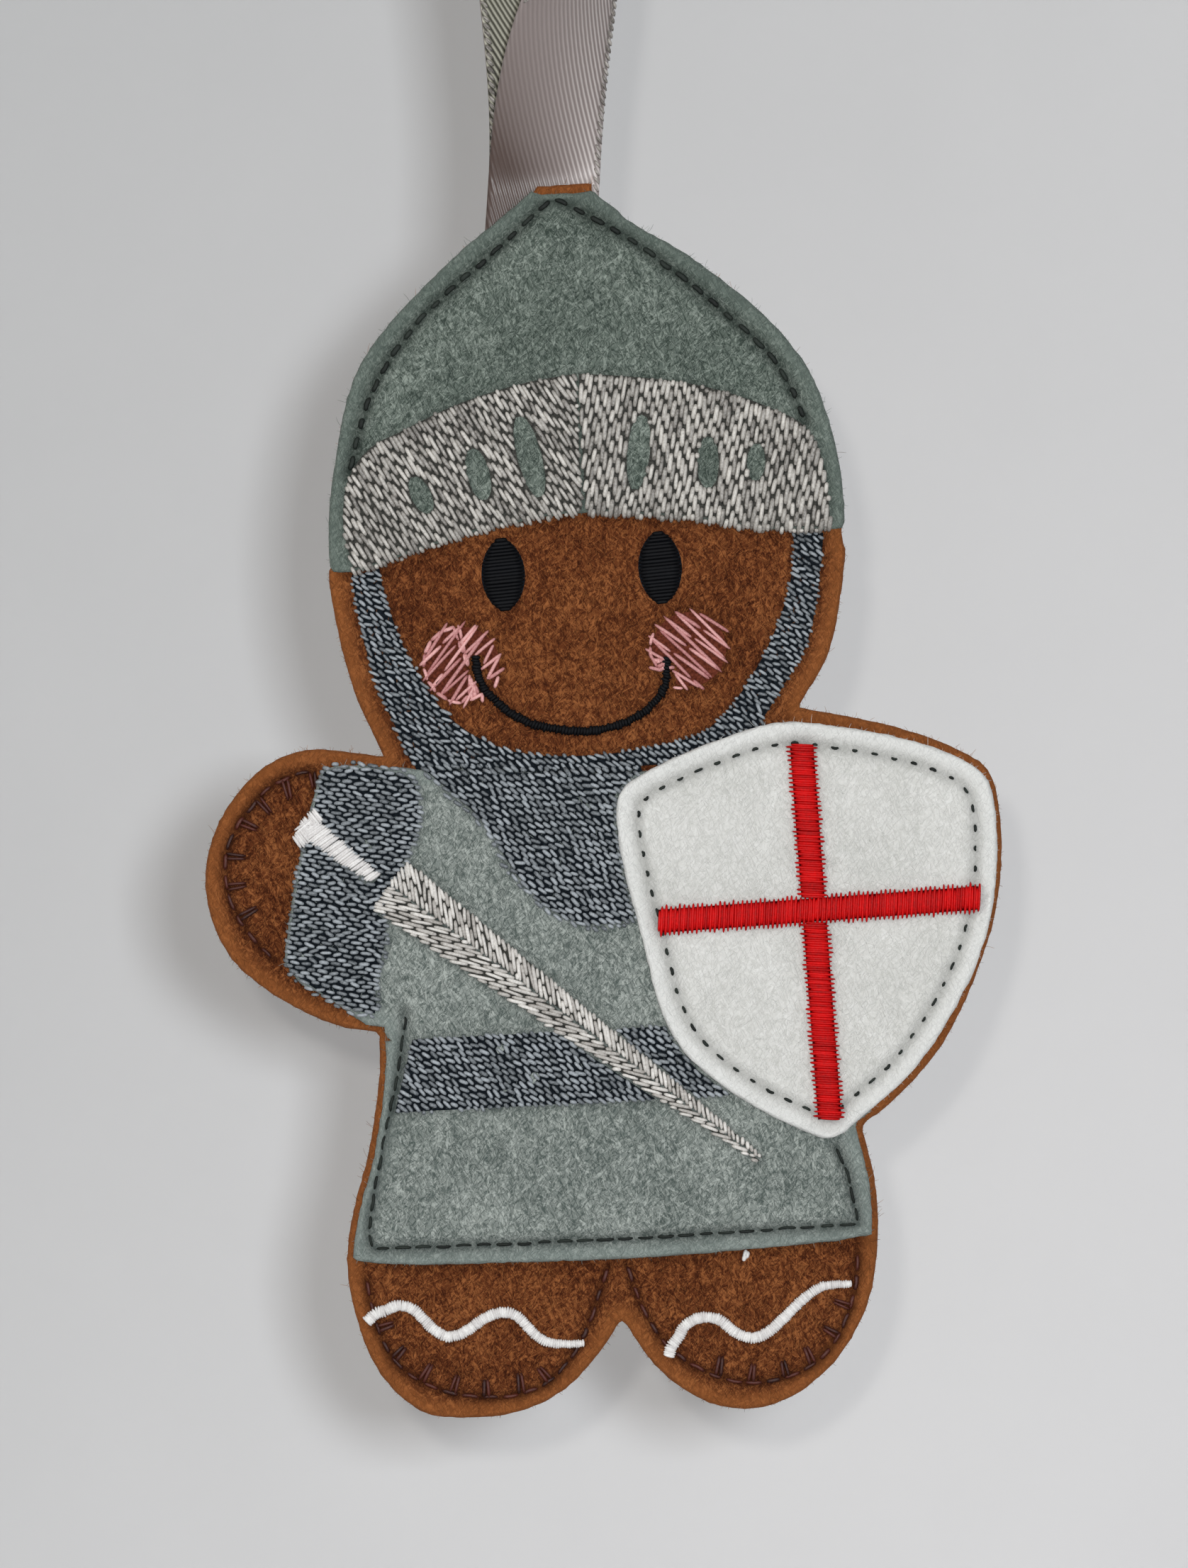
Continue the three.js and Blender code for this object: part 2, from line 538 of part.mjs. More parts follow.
// Sword: its line from the pommel to the tip, and the clear space that the mail leaves round it
const pommel = chest(sword_shares.pommel);
const grip_end = chest(sword_shares.grip_end);
const blade_base = chest(sword_shares.blade);
const blade_tip = chest(sword_shares.tip);
const along = ([x0, z0], [x1, z1], share) => [x0 + (x1 - x0) * share, z0 + (z1 - z0) * share];
const blade_length = Math.hypot(blade_tip[0] - blade_base[0], blade_tip[1] - blade_base[1]);
const blade_side = [blade_base[1] - blade_tip[1], blade_tip[0] - blade_base[0]].map((d) => d / blade_length);
const beside = ([x, z], out, side = blade_side) => [x + side[0] * out, z + side[1] * out];
const bladeEdge = (sign, extra) => blade_taper_shares.map(([at, width]) => (
  beside(along(blade_base, blade_tip, at), sign * (width * blade_width / 2 + extra))));
const blade_area = [along(blade_base, blade_tip, -seat_gap / blade_length), ...bladeEdge(1, seat_gap),
  along(blade_base, blade_tip, 1 + seat_gap / blade_length), ...bladeEdge(-1, seat_gap).reverse()];
const shield_area = inset(shield_outline, -seat_gap);
const pommel_path = [beside(pommel, -pommel_length / 2), beside(pommel, pommel_length / 2)];
const grip_length = Math.hypot(grip_end[0] - pommel[0], grip_end[1] - pommel[1]);
const grip_path = [along(pommel, grip_end, (pommel_width / 2 + seat_gap) / grip_length), grip_end];
const grip_area = band([along(pommel, grip_end, -pommel_width / grip_length),
  along(pommel, grip_end, 1 + seat_gap / grip_length)], grip_width + 2 * seat_gap);
const pommel_area = band([along(...pommel_path, -seat_gap / pommel_length),
  along(...pommel_path, 1 + seat_gap / pommel_length)], pommel_width + 2 * seat_gap);

const bib_edge = smooth(mail_bib_shares.map(chest));
const bib_top = shifted(collar, -seat_gap).filter(([x]) => x > bib_edge[0][0] && x < bib_edge.at(-1)[0]);
const bib_outline = outline(bib_edge, bib_top.reverse());
const mailSheet = (points) => sheet(points, patch_front - mail_rise, patch_front);
add('chest_mail', cut(mailSheet(bib_outline), cutter(shield_area)), colours.mail);
const sleeve_outline = outline(cuff, shoulder, smooth(sleeve_end_shares.map(chest)));
add('sleeve_mail', cut(mailSheet(inset(sleeve_outline, seat_gap)), cutter(blade_area), cutter(grip_area),
  cutter(pommel_area)), colours.mail);

const belt_top = skirt(belt_shares.top_left);
const belt_bottom = skirt(belt_shares.bottom_left);
const belt_end = skirt(belt_shares.right)[0];
const belt_outline = [belt_top, [belt_end, belt_top[1]], [belt_end, belt_top[1] - belt_height],
  [belt_bottom[0], belt_top[1] - belt_height]];
const run_on_share = 1;
const line_start = along(blade_base, blade_tip, -run_on_share);
const line_end = along(blade_base, blade_tip, 1 + run_on_share);
const over_blade = cutter([line_start, line_end, [line_end[0], overrun]]);
const belt = cut(mailSheet(belt_outline), cutter(blade_area), cutter(shield_area));
add('belt_mail_left', cut(belt, over_blade), colours.mail);
add('belt_mail_right', keep(belt, over_blade), colours.mail);

// The blade is two satin columns that meet at its ridge
const satinBead = (path, width) => bead(path, { level: patch_front, width, rise: satin_rise });
for (const [name, sign] of [['upper', 1], ['lower', -1]]) {
  const column = blade_taper_shares.map(([at, width]) => (
    beside(along(blade_base, blade_tip, at), sign * (width * blade_width / 2 + seat_gap / 2) / 2)));
  const widthAt = (share) => {
    const shares = blade_taper_shares[Math.round(share * (blade_taper_shares.length - 1))];
    return (shares[1] * blade_width - seat_gap) / 2;
  };
  add(`sword_blade_${name}`, satinBead(column, widthAt), colours.visor);
}
add('sword_grip', satinBead(grip_path, grip_width), colours.icing);
add('sword_pommel', satinBead(pommel_path, pommel_width), colours.icing);

// Cross on the shield: a bar over a post, so the post is in two lengths, all of them clear of the seam
const cross_top = chest(cross_shares.top);
const cross_bottom = chest(cross_shares.bottom);
const cross_left = chest(cross_shares.left);
const cross_right = chest(cross_shares.right);
const shield_seam = inset(shield_outline, shield_margin);

// The end of a satin bar on its way from a place to another, or short of the seam where that comes first
function satinEnd(from, to) {
  const [dx, dz] = [to[0] - from[0], to[1] - from[1]];
  const length = Math.hypot(dx, dz);
  const reach = satin_width / 2;
  const crossings = [-reach, 0, reach].flatMap((out) => {
    const [x, z] = beside(from, out, [-dz / length, dx / length]);
    return shield_seam.map(([x0, z0], i) => {
      const [x1, z1] = shield_seam[(i + 1) % shield_seam.length];
      const turn = dx * (z1 - z0) - dz * (x1 - x0);
      const share = ((x0 - x) * (z1 - z0) - (z0 - z) * (x1 - x0)) / turn;
      const on_edge = ((x0 - x) * dz - (z0 - z) * dx) / turn;
      return on_edge >= 0 && on_edge <= 1 && share > 0 ? share * length : Infinity;
    });
  });
  const clear_length = Math.min(...crossings) - thread_width / 2 - seat_gap;
  return along(from, to, Math.min(1, clear_length / length));
}

const bar_share = (cross_top[1] - (cross_left[1] + cross_right[1]) / 2) / (cross_top[1] - cross_bottom[1]);
const bar_clearance = (satin_width / 2 + seat_gap) / (cross_top[1] - cross_bottom[1]);
const cross_centre = along(cross_top, cross_bottom, bar_share);
const over_bar = along(cross_top, cross_bottom, bar_share - bar_clearance);
const under_bar = along(cross_top, cross_bottom, bar_share + bar_clearance);
const satinBar = (path) => bead(path, { level: shield_front, width: satin_width, rise: satin_rise });
const bar_ends = [cross_left, cross_right].map((end) => satinEnd(cross_centre, end));
add('cross_bar', satinBar(bar_ends), colours.red);
add('cross_post_upper', satinBar([satinEnd(over_bar, cross_top), over_bar]), colours.red);
add('cross_post_lower', satinBar([under_bar, satinEnd(under_bar, cross_bottom)]), colours.red);

// Face: eyes, cheeks and smile
const eye_steps = 8;
const cheek_steps = 20;
const smile_path = smooth(smile_shares.map(head));
const smile_area = cutter(band(smile_path, smile_width + 2 * seat_gap));
for (const side of ['left', 'right']) {
  const [x, z] = head(eye_shares[side]);
  const turns = Array.from({ length: eye_steps - 1 }, (_, i) => Math.PI * (i + 1) / eye_steps);
  const path = turns.map((turn) => [x, z + eye_half_height * Math.cos(turn)]);
  const width = (share) => 2 * eye_half_width * Math.sin(turns[Math.round(share * (turns.length - 1))]);
  add(`eye_${side}`, bead(path, { level: body_front, width, rise: smile_rise }), colours.black);
  const [cheek_x, cheek_z] = head(cheek_shares[side]);
  const rim = Array.from({ length: cheek_steps }, (_, i) => {
    const turn = 2 * Math.PI * i / cheek_steps;
    return [cheek_x + cheek_radius * Math.cos(turn), cheek_z + cheek_radius * Math.sin(turn)];
  });
  add(`cheek_${side}`, cut(sheet(rim, body_front - cheek_rise, body_front), smile_area), colours.pink);
}
add('smile', bead(smile_path, { level: body_front, width: smile_width, rise: smile_rise }), colours.black);

// Icing on the feet
for (const side of ['left', 'right']) {
  const path = smooth(icing_shares[side].map(skirt));
  const icing = bead(path, { level: body_front, width: icing_width, rise: icing_rise });
  add(`icing_${side}`, icing, colours.icing);
}

// Seams
const seam = (name, path, options) => add(name, runningStitch(path, options), colours.seam);
seam('hood_stitch', join(smooth(hood_stitch_shares.map(head)), smooth(hood_stitch_right_shares.map(head))),
  { level: patch_front });
seam('tunic_stitch', join(smooth(side_stitch_shares.map(skirt)), smooth(hem_stitch_shares.map(skirt)),
  smooth(side_stitch_right_shares.map(skirt))), { level: patch_front });
seam('shield_stitch', shield_seam, { level: shield_front, closed: true });
seam('hand_stitch', smooth(hand_stitch_shares.map(chest)), { level: body_front });
for (const side of ['left', 'right']) {
  seam(`foot_stitch_${side}`, smooth(foot_stitch_shares[side].map(skirt)), { level: body_front });
}
add('back_stitch', bead(back_seam, {
  level: groove_floor,
  toward: 1,
  closed: true,
  width: thread_width,
  rise: thread_rise,
  profile: thread_profile_shares,
}), colours.seam);

export default group;
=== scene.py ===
"""Looks of a felt gingerbread figure in helmet and tunic, with a stitched sword, a shield and a ribbon loop.

Places and levels are in metres. The sizes that functions are given are in millimetres."""

import json
import math
import random

import bmesh
import bpy
import numpy as np
from mathutils import Matrix, Vector, noise
from mathutils.geometry import delaunay_2d_cdt
from mathutils.kdtree import KDTree


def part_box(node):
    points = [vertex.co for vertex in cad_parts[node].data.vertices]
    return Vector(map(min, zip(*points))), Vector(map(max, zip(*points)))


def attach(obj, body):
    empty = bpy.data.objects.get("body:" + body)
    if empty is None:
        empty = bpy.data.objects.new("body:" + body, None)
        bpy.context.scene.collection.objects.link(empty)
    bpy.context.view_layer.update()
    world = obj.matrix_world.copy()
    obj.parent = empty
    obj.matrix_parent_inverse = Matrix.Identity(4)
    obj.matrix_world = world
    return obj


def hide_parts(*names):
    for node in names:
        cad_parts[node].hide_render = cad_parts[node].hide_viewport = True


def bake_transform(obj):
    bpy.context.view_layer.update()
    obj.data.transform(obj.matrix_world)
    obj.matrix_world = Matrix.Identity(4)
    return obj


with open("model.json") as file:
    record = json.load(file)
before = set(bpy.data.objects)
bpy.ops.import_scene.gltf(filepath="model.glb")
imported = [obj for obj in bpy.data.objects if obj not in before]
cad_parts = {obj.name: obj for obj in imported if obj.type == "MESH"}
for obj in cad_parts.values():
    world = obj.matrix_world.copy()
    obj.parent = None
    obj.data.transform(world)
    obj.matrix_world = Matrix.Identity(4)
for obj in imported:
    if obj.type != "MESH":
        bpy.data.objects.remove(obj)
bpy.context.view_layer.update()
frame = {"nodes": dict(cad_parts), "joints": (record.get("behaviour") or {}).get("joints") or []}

MM = 0.001
WELD = 1e-6
rng = random.Random(11)

# Levels of the layers along Y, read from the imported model, and how thick the felt is
BODY_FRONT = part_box("front_felt")[0].y
PATCH_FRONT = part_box("hood_felt")[0].y
SHIELD_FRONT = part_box("shield_felt")[0].y
BACK_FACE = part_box("back_felt")[1].y
PANEL_DEPTH = 1.4 * MM
PATCH_DEPTH = 1.2 * MM
SIDES = ("left", "right")


# Plane geometry, with lines as lists of (x, z)
def pairs(loop):
    """Each member of a loop with the next one round"""
    return zip(loop, loop[1:] + loop[:1])


def area_of(loop):
    return sum(a[0] * b[1] - b[0] * a[1] for a, b in pairs(loop)) / 2


def length_of(line):
    return sum(math.dist(a, b) for a, b in zip(line, line[1:]))


def resampled(line, step, closed=False):
    """Points at even distances along a line, about a step apart"""
    line = [*line, line[0]] if closed else list(line)
    count = max(2, round(length_of(line) / (step * MM)))
    run = np.concatenate([[0], np.cumsum([math.dist(a, b) for a, b in zip(line, line[1:])])])
    at = np.linspace(0, run[-1], count + 1)
    points = list(zip(*(np.interp(at, run, [p[k] for p in line]).tolist() for k in range(len(line[0])))))
    return points[:-1] if closed else points


def normals_of(line, closed=False):
    """Unit vectors to the left of the way along a line"""
    count = len(line)
    result = []
    for i in range(count):
        a = line[(i - 1) % count if closed else max(i - 1, 0)]
        b = line[(i + 1) % count if closed else min(i + 1, count - 1)]
        dx, dz = b[0] - a[0], b[1] - a[1]
        size = math.hypot(dx, dz) or 1
        result.append((-dz / size, dx / size))
    return result


def moved(line, distance, closed=False):
    """A line moved sideways to its left, which on an outer outline is inwards"""
    far = distance * MM
    return [(x + nx * far, z + nz * far) for (x, z), (nx, nz) in zip(line, normals_of(line, closed))]


def ring_of(loop, step=0.7):
    return resampled(loop, step, closed=True)


def grown(loop, distance, step=0.7):
    """An outline made larger, or a hole made smaller"""
    return moved(ring_of(loop, step), -distance, closed=True)


def rejoined(loop):
    """A loop as a line that ends where it starts"""
    return [*loop, loop[0]]


def downward(line):
    return line if line[0][1] >= line[-1][1] else line[::-1]


def beyond(a, b):
    """The place as far past b as a is before it"""
    return (2 * b[0] - a[0], 2 * b[1] - a[1])


def extended(line, before, after):
    """A line run on straight past its ends"""
    (x0, z0), (x1, z1) = line[:2]
    (x2, z2), (x3, z3) = line[-2:]
    first = before * MM / math.dist(line[0], line[1])
    last = after * MM / math.dist(line[-1], line[-2])
    return [(x0 - (x1 - x0) * first, z0 - (z1 - z0) * first), *line,
            (x3 + (x3 - x2) * last, z3 + (z3 - z2) * last)]


def hung(loop, drop):
    """An outline let down along its lower side"""
    ring = ring_of(loop)
    return [(x, z - drop * MM if nz > 0.5 else z)
            for (x, z), (_, nz) in zip(ring, normals_of(ring, closed=True))]


def band_of(line, width):
    """The outline of a band of the given width along a line"""
    line = resampled(line, 0.6)
    return moved(line, -width / 2) + moved(line, width / 2)[::-1]


def inside(place, loops):
    """Whether a place is in the outer loops and not in the holes. Many are given as all x and all z"""
    x, z = place
    odd = False
    for loop in loops:
        for (x0, z0), (x1, z1) in pairs(loop):
            if z0 != z1:
                odd = odd ^ (((z0 > z) != (z1 > z)) & (x < (x1 - x0) * (z - z0) / (z1 - z0) + x0))
    return odd


def near(lines):
    """A function of a place that gives its distance to some lines"""
    points = [p for line in lines for p in resampled(line, 0.3)]
    tree = KDTree(len(points))
    for i, (x, z) in enumerate(points):
        tree.insert((x, z, 0), i)
    tree.balance()
    return lambda x, z: tree.find((x, z, 0))[2]


def valley(lines, width, depth):
    """A ditch along some lines: a function of a place that gives how far the cloth is pulled in there"""
    distance = near(lines)
    return lambda x, z: depth * MM * math.exp(-((distance(x, z) / (width * MM)) ** 2))


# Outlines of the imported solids
def welded(node):
    """A node's corners with doubles merged, and its faces"""
    mesh = frame["nodes"][node].data
    places, known, index = [], {}, []
    for vertex in mesh.vertices:
        key = tuple(round(c / WELD) for c in vertex.co)
        if key not in known:
            known[key] = len(places)
            places.append(vertex.co.copy())
        index.append(known[key])
    return places, [[index[i] for i in face.vertices] for face in mesh.polygons]


def loops_of(node):
    """Outlines of a node's flat front face: outer ones run anticlockwise, holes clockwise"""
    places, faces = welded(node)
    level = min(p.y for p in places)
    cap = [f for f in faces if all(abs(places[i].y - level) < WELD for i in f)]
    edges = {edge for f in cap for edge in pairs(f)}
    after = {a: b for a, b in edges if (b, a) not in edges}
    loops = []
    while after:
        start, here = after.popitem()
        loop = [start]
        while here != start:
            loop.append(here)
            here = after.pop(here)
        loops.append([(places[i].x, places[i].z) for i in loop])
    return sorted(loops, key=lambda loop: -abs(area_of(loop)))


def chained(points):
    """Points put in order along the line that they lie on, from its left end where it has ends"""
    left = list(points)
    line = [left[0]]
    if len(left) > 2:
        line = [max(left, key=lambda p: sorted(math.dist(p, q) for q in left)[2])]
    left.remove(line[0])
    while left:
        nearest = min(left, key=lambda p: math.dist(p, line[-1]))
        left.remove(nearest)
        line.append(nearest)
    return line if line[0][0] <= line[-1][0] else line[::-1]


def crown_of(node, toward=-1):
    """The line along the top of a raised bead that stands towards the front or the back"""
    places, _ = welded(node)
    top = max(toward * p.y for p in places)
    return chained([(p.x, p.z) for p in places if top - toward * p.y < WELD])


def holes_of(node):
    """Where the thread of a seam goes through the cloth, in order"""
    places, _ = welded(node)
    front, base = min(p.y for p in places), max(p.y for p in places)
    return chained([(p.x, p.z) for p in places if front + WELD < p.y < base - WELD])


def footprint(node):
    """The outline of what a raised bead covers"""
    places, _ = welded(node)
    base = max(p.y for p in places)
    line = crown_of(node)
    sides = {1: [], -1: []}
    for x, z in [(p.x, p.z) for p in places if abs(p.y - base) < WELD]:
        k = min(range(len(line)), key=lambda i: math.dist(line[i], (x, z)))
        a, b = line[max(k - 1, 0)], line[min(k + 1, len(line) - 1)]
        turn = (b[0] - a[0]) * (z - line[k][1]) - (b[1] - a[1]) * (x - line[k][0])
        sides[1 if turn > 0 else -1].append((k, (b[0] - a[0]) * x + (b[1] - a[1]) * z, (x, z)))
    left, right = ([q for _, _, q in sorted(sides[side])] for side in (1, -1))
    return right + left[::-1]


# Meshes
def placed(name, data):
    """A new object in the scene"""
    made = bpy.data.objects.new(name, data)
    bpy.context.scene.collection.objects.link(made)
    return made


def piece(name, vertices, faces, materials, marks=None, face_materials=None, smooth=True):
    """A mesh object, with named marks that its material reads at each corner"""
    mesh = bpy.data.meshes.new(name)
    mesh.from_pydata([tuple(v) for v in vertices], [], [tuple(f) for f in faces])
    for material in materials:
        mesh.materials.append(material)
    if face_materials is not None:
        mesh.polygons.foreach_set("material_index", face_materials)
    mesh.polygons.foreach_set("use_smooth", [smooth] * len(mesh.polygons))
    for mark, values in (marks or {}).items():
        mesh.attributes.new(mark, "FLOAT", "POINT").data.foreach_set("value", np.asarray(values, np.float32))
    mesh.update()
    return placed(name, mesh)


def facing_out(made):
    """A closed mesh turned right side out"""
    mesh = made.data
    mesh.calc_loop_triangles()
    places = np.array([v.co for v in mesh.vertices])
    corners = places[np.array([t.vertices[:] for t in mesh.loop_triangles])]
    if np.einsum("ij,ij->i", corners[:, 0], np.cross(corners[:, 1], corners[:, 2])).sum() < 0:
        mesh.flip_normals()
    return made


def walls(ring, rows, start=0):
    """Faces between one ring of corners and the next, where each ring's corners follow those of the last"""
    n = len(ring)
    return [(a + r, a + s, a + n + s, a + n + r)
            for a in range(start, start + rows * n, n) for r, s in pairs(ring)]


def unit(rows):
    return rows / (np.linalg.norm(rows, axis=1)[:, None] + 1e-12)


class Strands:
    """Many closed tubes gathered into one mesh"""

    def __init__(self, sides=6):
        self.ring = list(range(sides))
        self.count = 0
        self.vertices, self.faces, self.tints = [], [], []

    def add(self, path, half_width, half_height, tint, widths=(0.5, 1, 0.5), side=None, dip=0.0):
        """One strand along a path of (x, y, z), flattened towards the cloth. widths are shares of its width on
        the way. Its tint is darkened towards its ends by a share, as painted shade where they go down"""
        points = np.asarray(path, float)
        sides = len(self.ring)
        ahead = unit(np.gradient(points, axis=0))
        across = np.array(side if side is not None else np.cross(points[-1] - points[0], (0, 1, 0)), float)
        across = unit(across - (ahead @ across)[:, None] * ahead)
        along = np.linspace(0, 1, len(points))
        scale = np.interp(along, np.linspace(0, 1, len(widths)), widths)[:, None, None] * MM
        angles = 2 * np.pi * np.arange(sides)[None, :, None] / sides
        rings = points[:, None] + across[:, None] * np.cos(angles) * scale * half_width
        rings = rings + np.cross(ahead, across)[:, None] * np.sin(angles) * scale * half_height
        self.vertices.append(rings.reshape(-1, 3))
        # Painted shade: the tint falls off towards both ends of the strand
        above = np.sin(np.linspace(0, np.pi, len(points)))
        self.tints.extend(np.repeat(tint * (1 - dip + dip * above), sides).tolist())
        self.faces += walls(self.ring, len(points) - 1, self.count)
        self.faces.append(tuple(self.count + k for k in reversed(self.ring)))
        self.count += len(points) * sides
        self.faces.append(tuple(self.count - sides + k for k in self.ring))

    def build(self, name, material):
        made = piece(name, np.concatenate(self.vertices), self.faces, [material], {"tint": self.tints})
        return facing_out(made)


RIM_STEPS = 8
EDGE_REACH = 1.5 * MM
FULL_PULL = 0.4 * MM


def felt_slab(name, loop, back, front, material, ditches=(), back_ditches=(), spacing=0.42, back_spacing=1.6,
              edge=0.4, nap=0.06):
    """A felt panel: soft cut edge, a nap that is never quite flat, and ditches along what is sewn in it"""
    ring = ring_of(loop, 0.6)
    count = len(ring)
    to_edge = near([rejoined(ring)])
    vertices, faces = [], walls(list(range(count)), RIM_STEPS)
    middle, half = (back + front) / 2, (front - back) / 2
    for j in range(RIM_STEPS + 1):
        angle = math.pi * (j / RIM_STEPS - 0.5)
        inset = edge * MM * (1 - math.cos(angle))
        level = middle + half * math.copysign(abs(math.sin(angle)) ** 0.75, math.sin(angle))
        for (x, z), (nx, nz) in zip(ring, normals_of(ring, closed=True)):
            bumps = 0.12 * MM * math.cos(angle) * noise.noise((x / MM * 1.1, level / MM * 1.5, z / MM * 1.1))
            vertices.append((x + nx * (inset - bumps), level, z + nz * (inset - bumps)))
    ditch_shades = [0.0] * len(vertices)
    edges = [1.0] * len(vertices)
    for first, sign, level, dents, step in (
            (0, 1, back, back_ditches, back_spacing), (RIM_STEPS * count, -1, front, ditches, spacing)):
        border = [(x, z) for x, _, z in vertices[first:first + count]]
        low, high = np.min(border, axis=0), np.max(border, axis=0)
        pace = step * MM
        grid = [(x + (0.5 * pace if row % 2 else 0) + rng.uniform(-0.15, 0.15) * pace,
                 z + rng.uniform(-0.15, 0.15) * pace)
                for row, z in enumerate(np.arange(low[1], high[1], pace * 0.87))
                for x in np.arange(low[0], high[0], pace)]
        kept = inside(np.transpose(grid), [moved(border, 0.45 * step, closed=True)])
        places = [Vector(p) for p in [*border, *(p for p, keep in zip(grid, kept) if keep)]]
        corners, _, triangles, sources, _, _ = delaunay_2d_cdt(places, [], [list(range(count))], 1, 1e-7)
        names = []
        for (x, z), source in zip(corners, sources):
            on_border = [s for s in source if s < count]
            if on_border:
                names.append(first + on_border[0])
                continue
            names.append(len(vertices))
            lift = nap * MM * noise.fractal((x / MM * 0.45, level / MM, z / MM * 0.45), 0.9, 2.1, 3)
            pull = sum(dent(x, z) for dent in dents)
            vertices.append((x, level + sign * (lift - pull), z))
            # Painted shade: how deep the ditch is here, which darkens the felt's colour
            ditch_shades.append(min(1, pull / FULL_PULL))
            edges.append(math.exp(-((to_edge(x, z) / EDGE_REACH) ** 4)))
        faces.extend([names[k] for k in triangle] for triangle in triangles)
    made = piece(name, vertices, faces, [material], {"pull": ditch_shades, "edge": edges})
    work = bmesh.new()
    work.from_mesh(made.data)
    bmesh.ops.recalc_face_normals(work, faces=work.faces)
    work.to_mesh(made.data)
    work.free()
    return made


def fuzz(name, loop, back, front, material, on_rim, on_face, covers, sewn):
    """Loose fibres that stand out of a panel's edge, and lie on its face where it isn't covered or sewn"""
    strands = Strands(sides=3)
    to_seam = near(sewn) if sewn else None
    ring = ring_of(loop, 0.5)
    sides = normals_of(ring, closed=True)
    for _ in range(on_rim):
        i = rng.randrange(len(ring))
        (x, z), (nx, nz) = ring[i], sides[i]
        lean = rng.gauss(0, 1.2)
        out = np.array((-nx - lean * nz, rng.uniform(-0.5, 0.5), -nz + lean * nx))
        out /= np.linalg.norm(out)
        reach = rng.uniform(0.2, 0.6) * MM
        bend = np.array([rng.uniform(-0.4, 0.4) for _ in range(3)]) * reach
        start = np.array((x + nx * 0.3 * MM, rng.uniform(back, front), z + nz * 0.3 * MM))
        path = [start, start + out * reach * 0.5 + bend * 0.3, start + out * reach + bend]
        strands.add(path, 0.02, 0.02, rng.random(), side=(nz, 0.3, -nx))
    low, high = np.min(loop, axis=0).tolist(), np.max(loop, axis=0).tolist()
    while on_face > 0:
        x, z = rng.uniform(low[0], high[0]), rng.uniform(low[1], high[1])
        if not inside((x, z), [loop]) or any(inside((x, z), [cover]) for cover in covers):
            continue
        if to_seam and to_seam(x, z) < 1.2 * MM:
            on_face -= 0.2
            continue
        on_face -= 1
        angle = rng.uniform(0, math.pi) if rng.random() < 0.5 else rng.gauss(math.pi / 2, 0.4)
        step = np.array((math.cos(angle), 0, math.sin(angle))) * rng.uniform(0.15, 0.38) * MM
        curl = np.array((-step[2], 0, step[0])) * rng.uniform(-0.6, 0.6)
        start = np.array((x, front, z))
        lift = np.array((0, -rng.uniform(0.01, 0.06) * MM, 0))
        path = [start, start + step + lift, start + 2 * step + curl + lift, start + 3 * step + 2.5 * curl]
        strands.add(path, 0.022, 0.016, rng.random())
    return strands.build(name, material)


def underlay(name, loops, ground, material, proud, sunk=0.3):
    """The shaded cloth and thread under a field of stitches, from sunk into the ground to proud of it"""
    places = [Vector(p) for loop in loops for p in loop]
    starts = np.cumsum([0, *(len(loop) for loop in loops)]).tolist()
    edges = [edge for a, b in zip(starts, starts[1:]) for edge in pairs(list(range(a, b)))]
    corners, _, triangles, _, _, _ = delaunay_2d_cdt(places, edges, [], 1, 1e-7)
    centres = np.array(corners)[np.array(triangles)].mean(axis=1).T
    triangles = [t for t, keep in zip(triangles, inside(centres, loops)) if keep]
    count = len(corners)
    vertices = [(x, ground + depth * MM, z) for depth in (sunk, -proud) for x, z in corners]
    edges = {edge for t in triangles for edge in pairs(t)}
    faces = triangles + [[k + count for k in reversed(t)] for t in triangles]
    faces += [(b, a, a + count, b + count) for a, b in edges if (b, a) not in edges]
    return facing_out(piece(name, vertices, faces, [material], smooth=False))


# Embroidery
SHORTEST_STITCH = 0.25 * MM
THREAD_HEIGHT = 0.14
PLAIN_STEPS = (0, 0.08, 0.22, 0.5, 0.78, 0.92, 1)
LONG_STEPS = (0, 0.05, 0.15, 0.35, 0.65, 0.85, 0.95, 1)
THREAD_WIDTHS = (0.3, 0.75, 1, 1, 1, 0.75, 0.3)


def stitch(strands, a, b, ground, rise, half_width, sink=0.25, arch=0.0, steps=PLAIN_STEPS, sway=0.03,
           toward=-1):
    """A stitch from a to b, over the cloth between two holes. ground is its level, or those at its ends"""
    reach = math.dist(a, b)
    if reach < SHORTEST_STITCH:
        return
    level_a, level_b = ground if isinstance(ground, tuple) else (ground, ground)
    across = (-(b[1] - a[1]) / reach, (b[0] - a[0]) / reach)
    swing = rng.uniform(-sway, sway) * MM
    path = []
    for t in steps:
        bulge = math.sin(math.pi * t)
        height = (rise * (1 - arch + arch * bulge) if 0 < t < 1 else -sink) * MM
        share = 1 - (1 - t) ** 6 if level_a > level_b else t ** 6
        path.append((a[0] + (b[0] - a[0]) * t + across[0] * swing * bulge,
                     level_a + (level_b - level_a) * share + toward * height,
                     a[1] + (b[1] - a[1]) * t + across[1] * swing * bulge))
    strands.add(path, half_width * rng.uniform(0.85, 1.12), THREAD_HEIGHT, rng.uniform(0.1, 1.15),
                THREAD_WIDTHS, dip=0.75)


def rows_of(loops, way, over, pitch):
    """Where lines that run the given way, a pitch apart, cross an area: (row, start, end, level)"""
    turned = [np.asarray(loop) @ np.stack([way, over], 1) for loop in loops]
    low, high = min(t[:, 1].min() for t in turned), max(t[:, 1].max() for t in turned)
    for row, level in enumerate(np.arange(low + pitch / 2, high, pitch)):
        crossings = []
        for loop in turned:
            after = np.roll(loop, -1, axis=0)
            spans = (loop[:, 1] > level) != (after[:, 1] > level)
            a, b = loop[spans], after[spans]
            crossings.extend(a[:, 0] + (b[:, 0] - a[:, 0]) * (level - a[:, 1]) / (b[:, 1] - a[:, 1]))
        crossings.sort()
        for start, end in zip(crossings[::2], crossings[1::2]):
            yield row, start, end, level


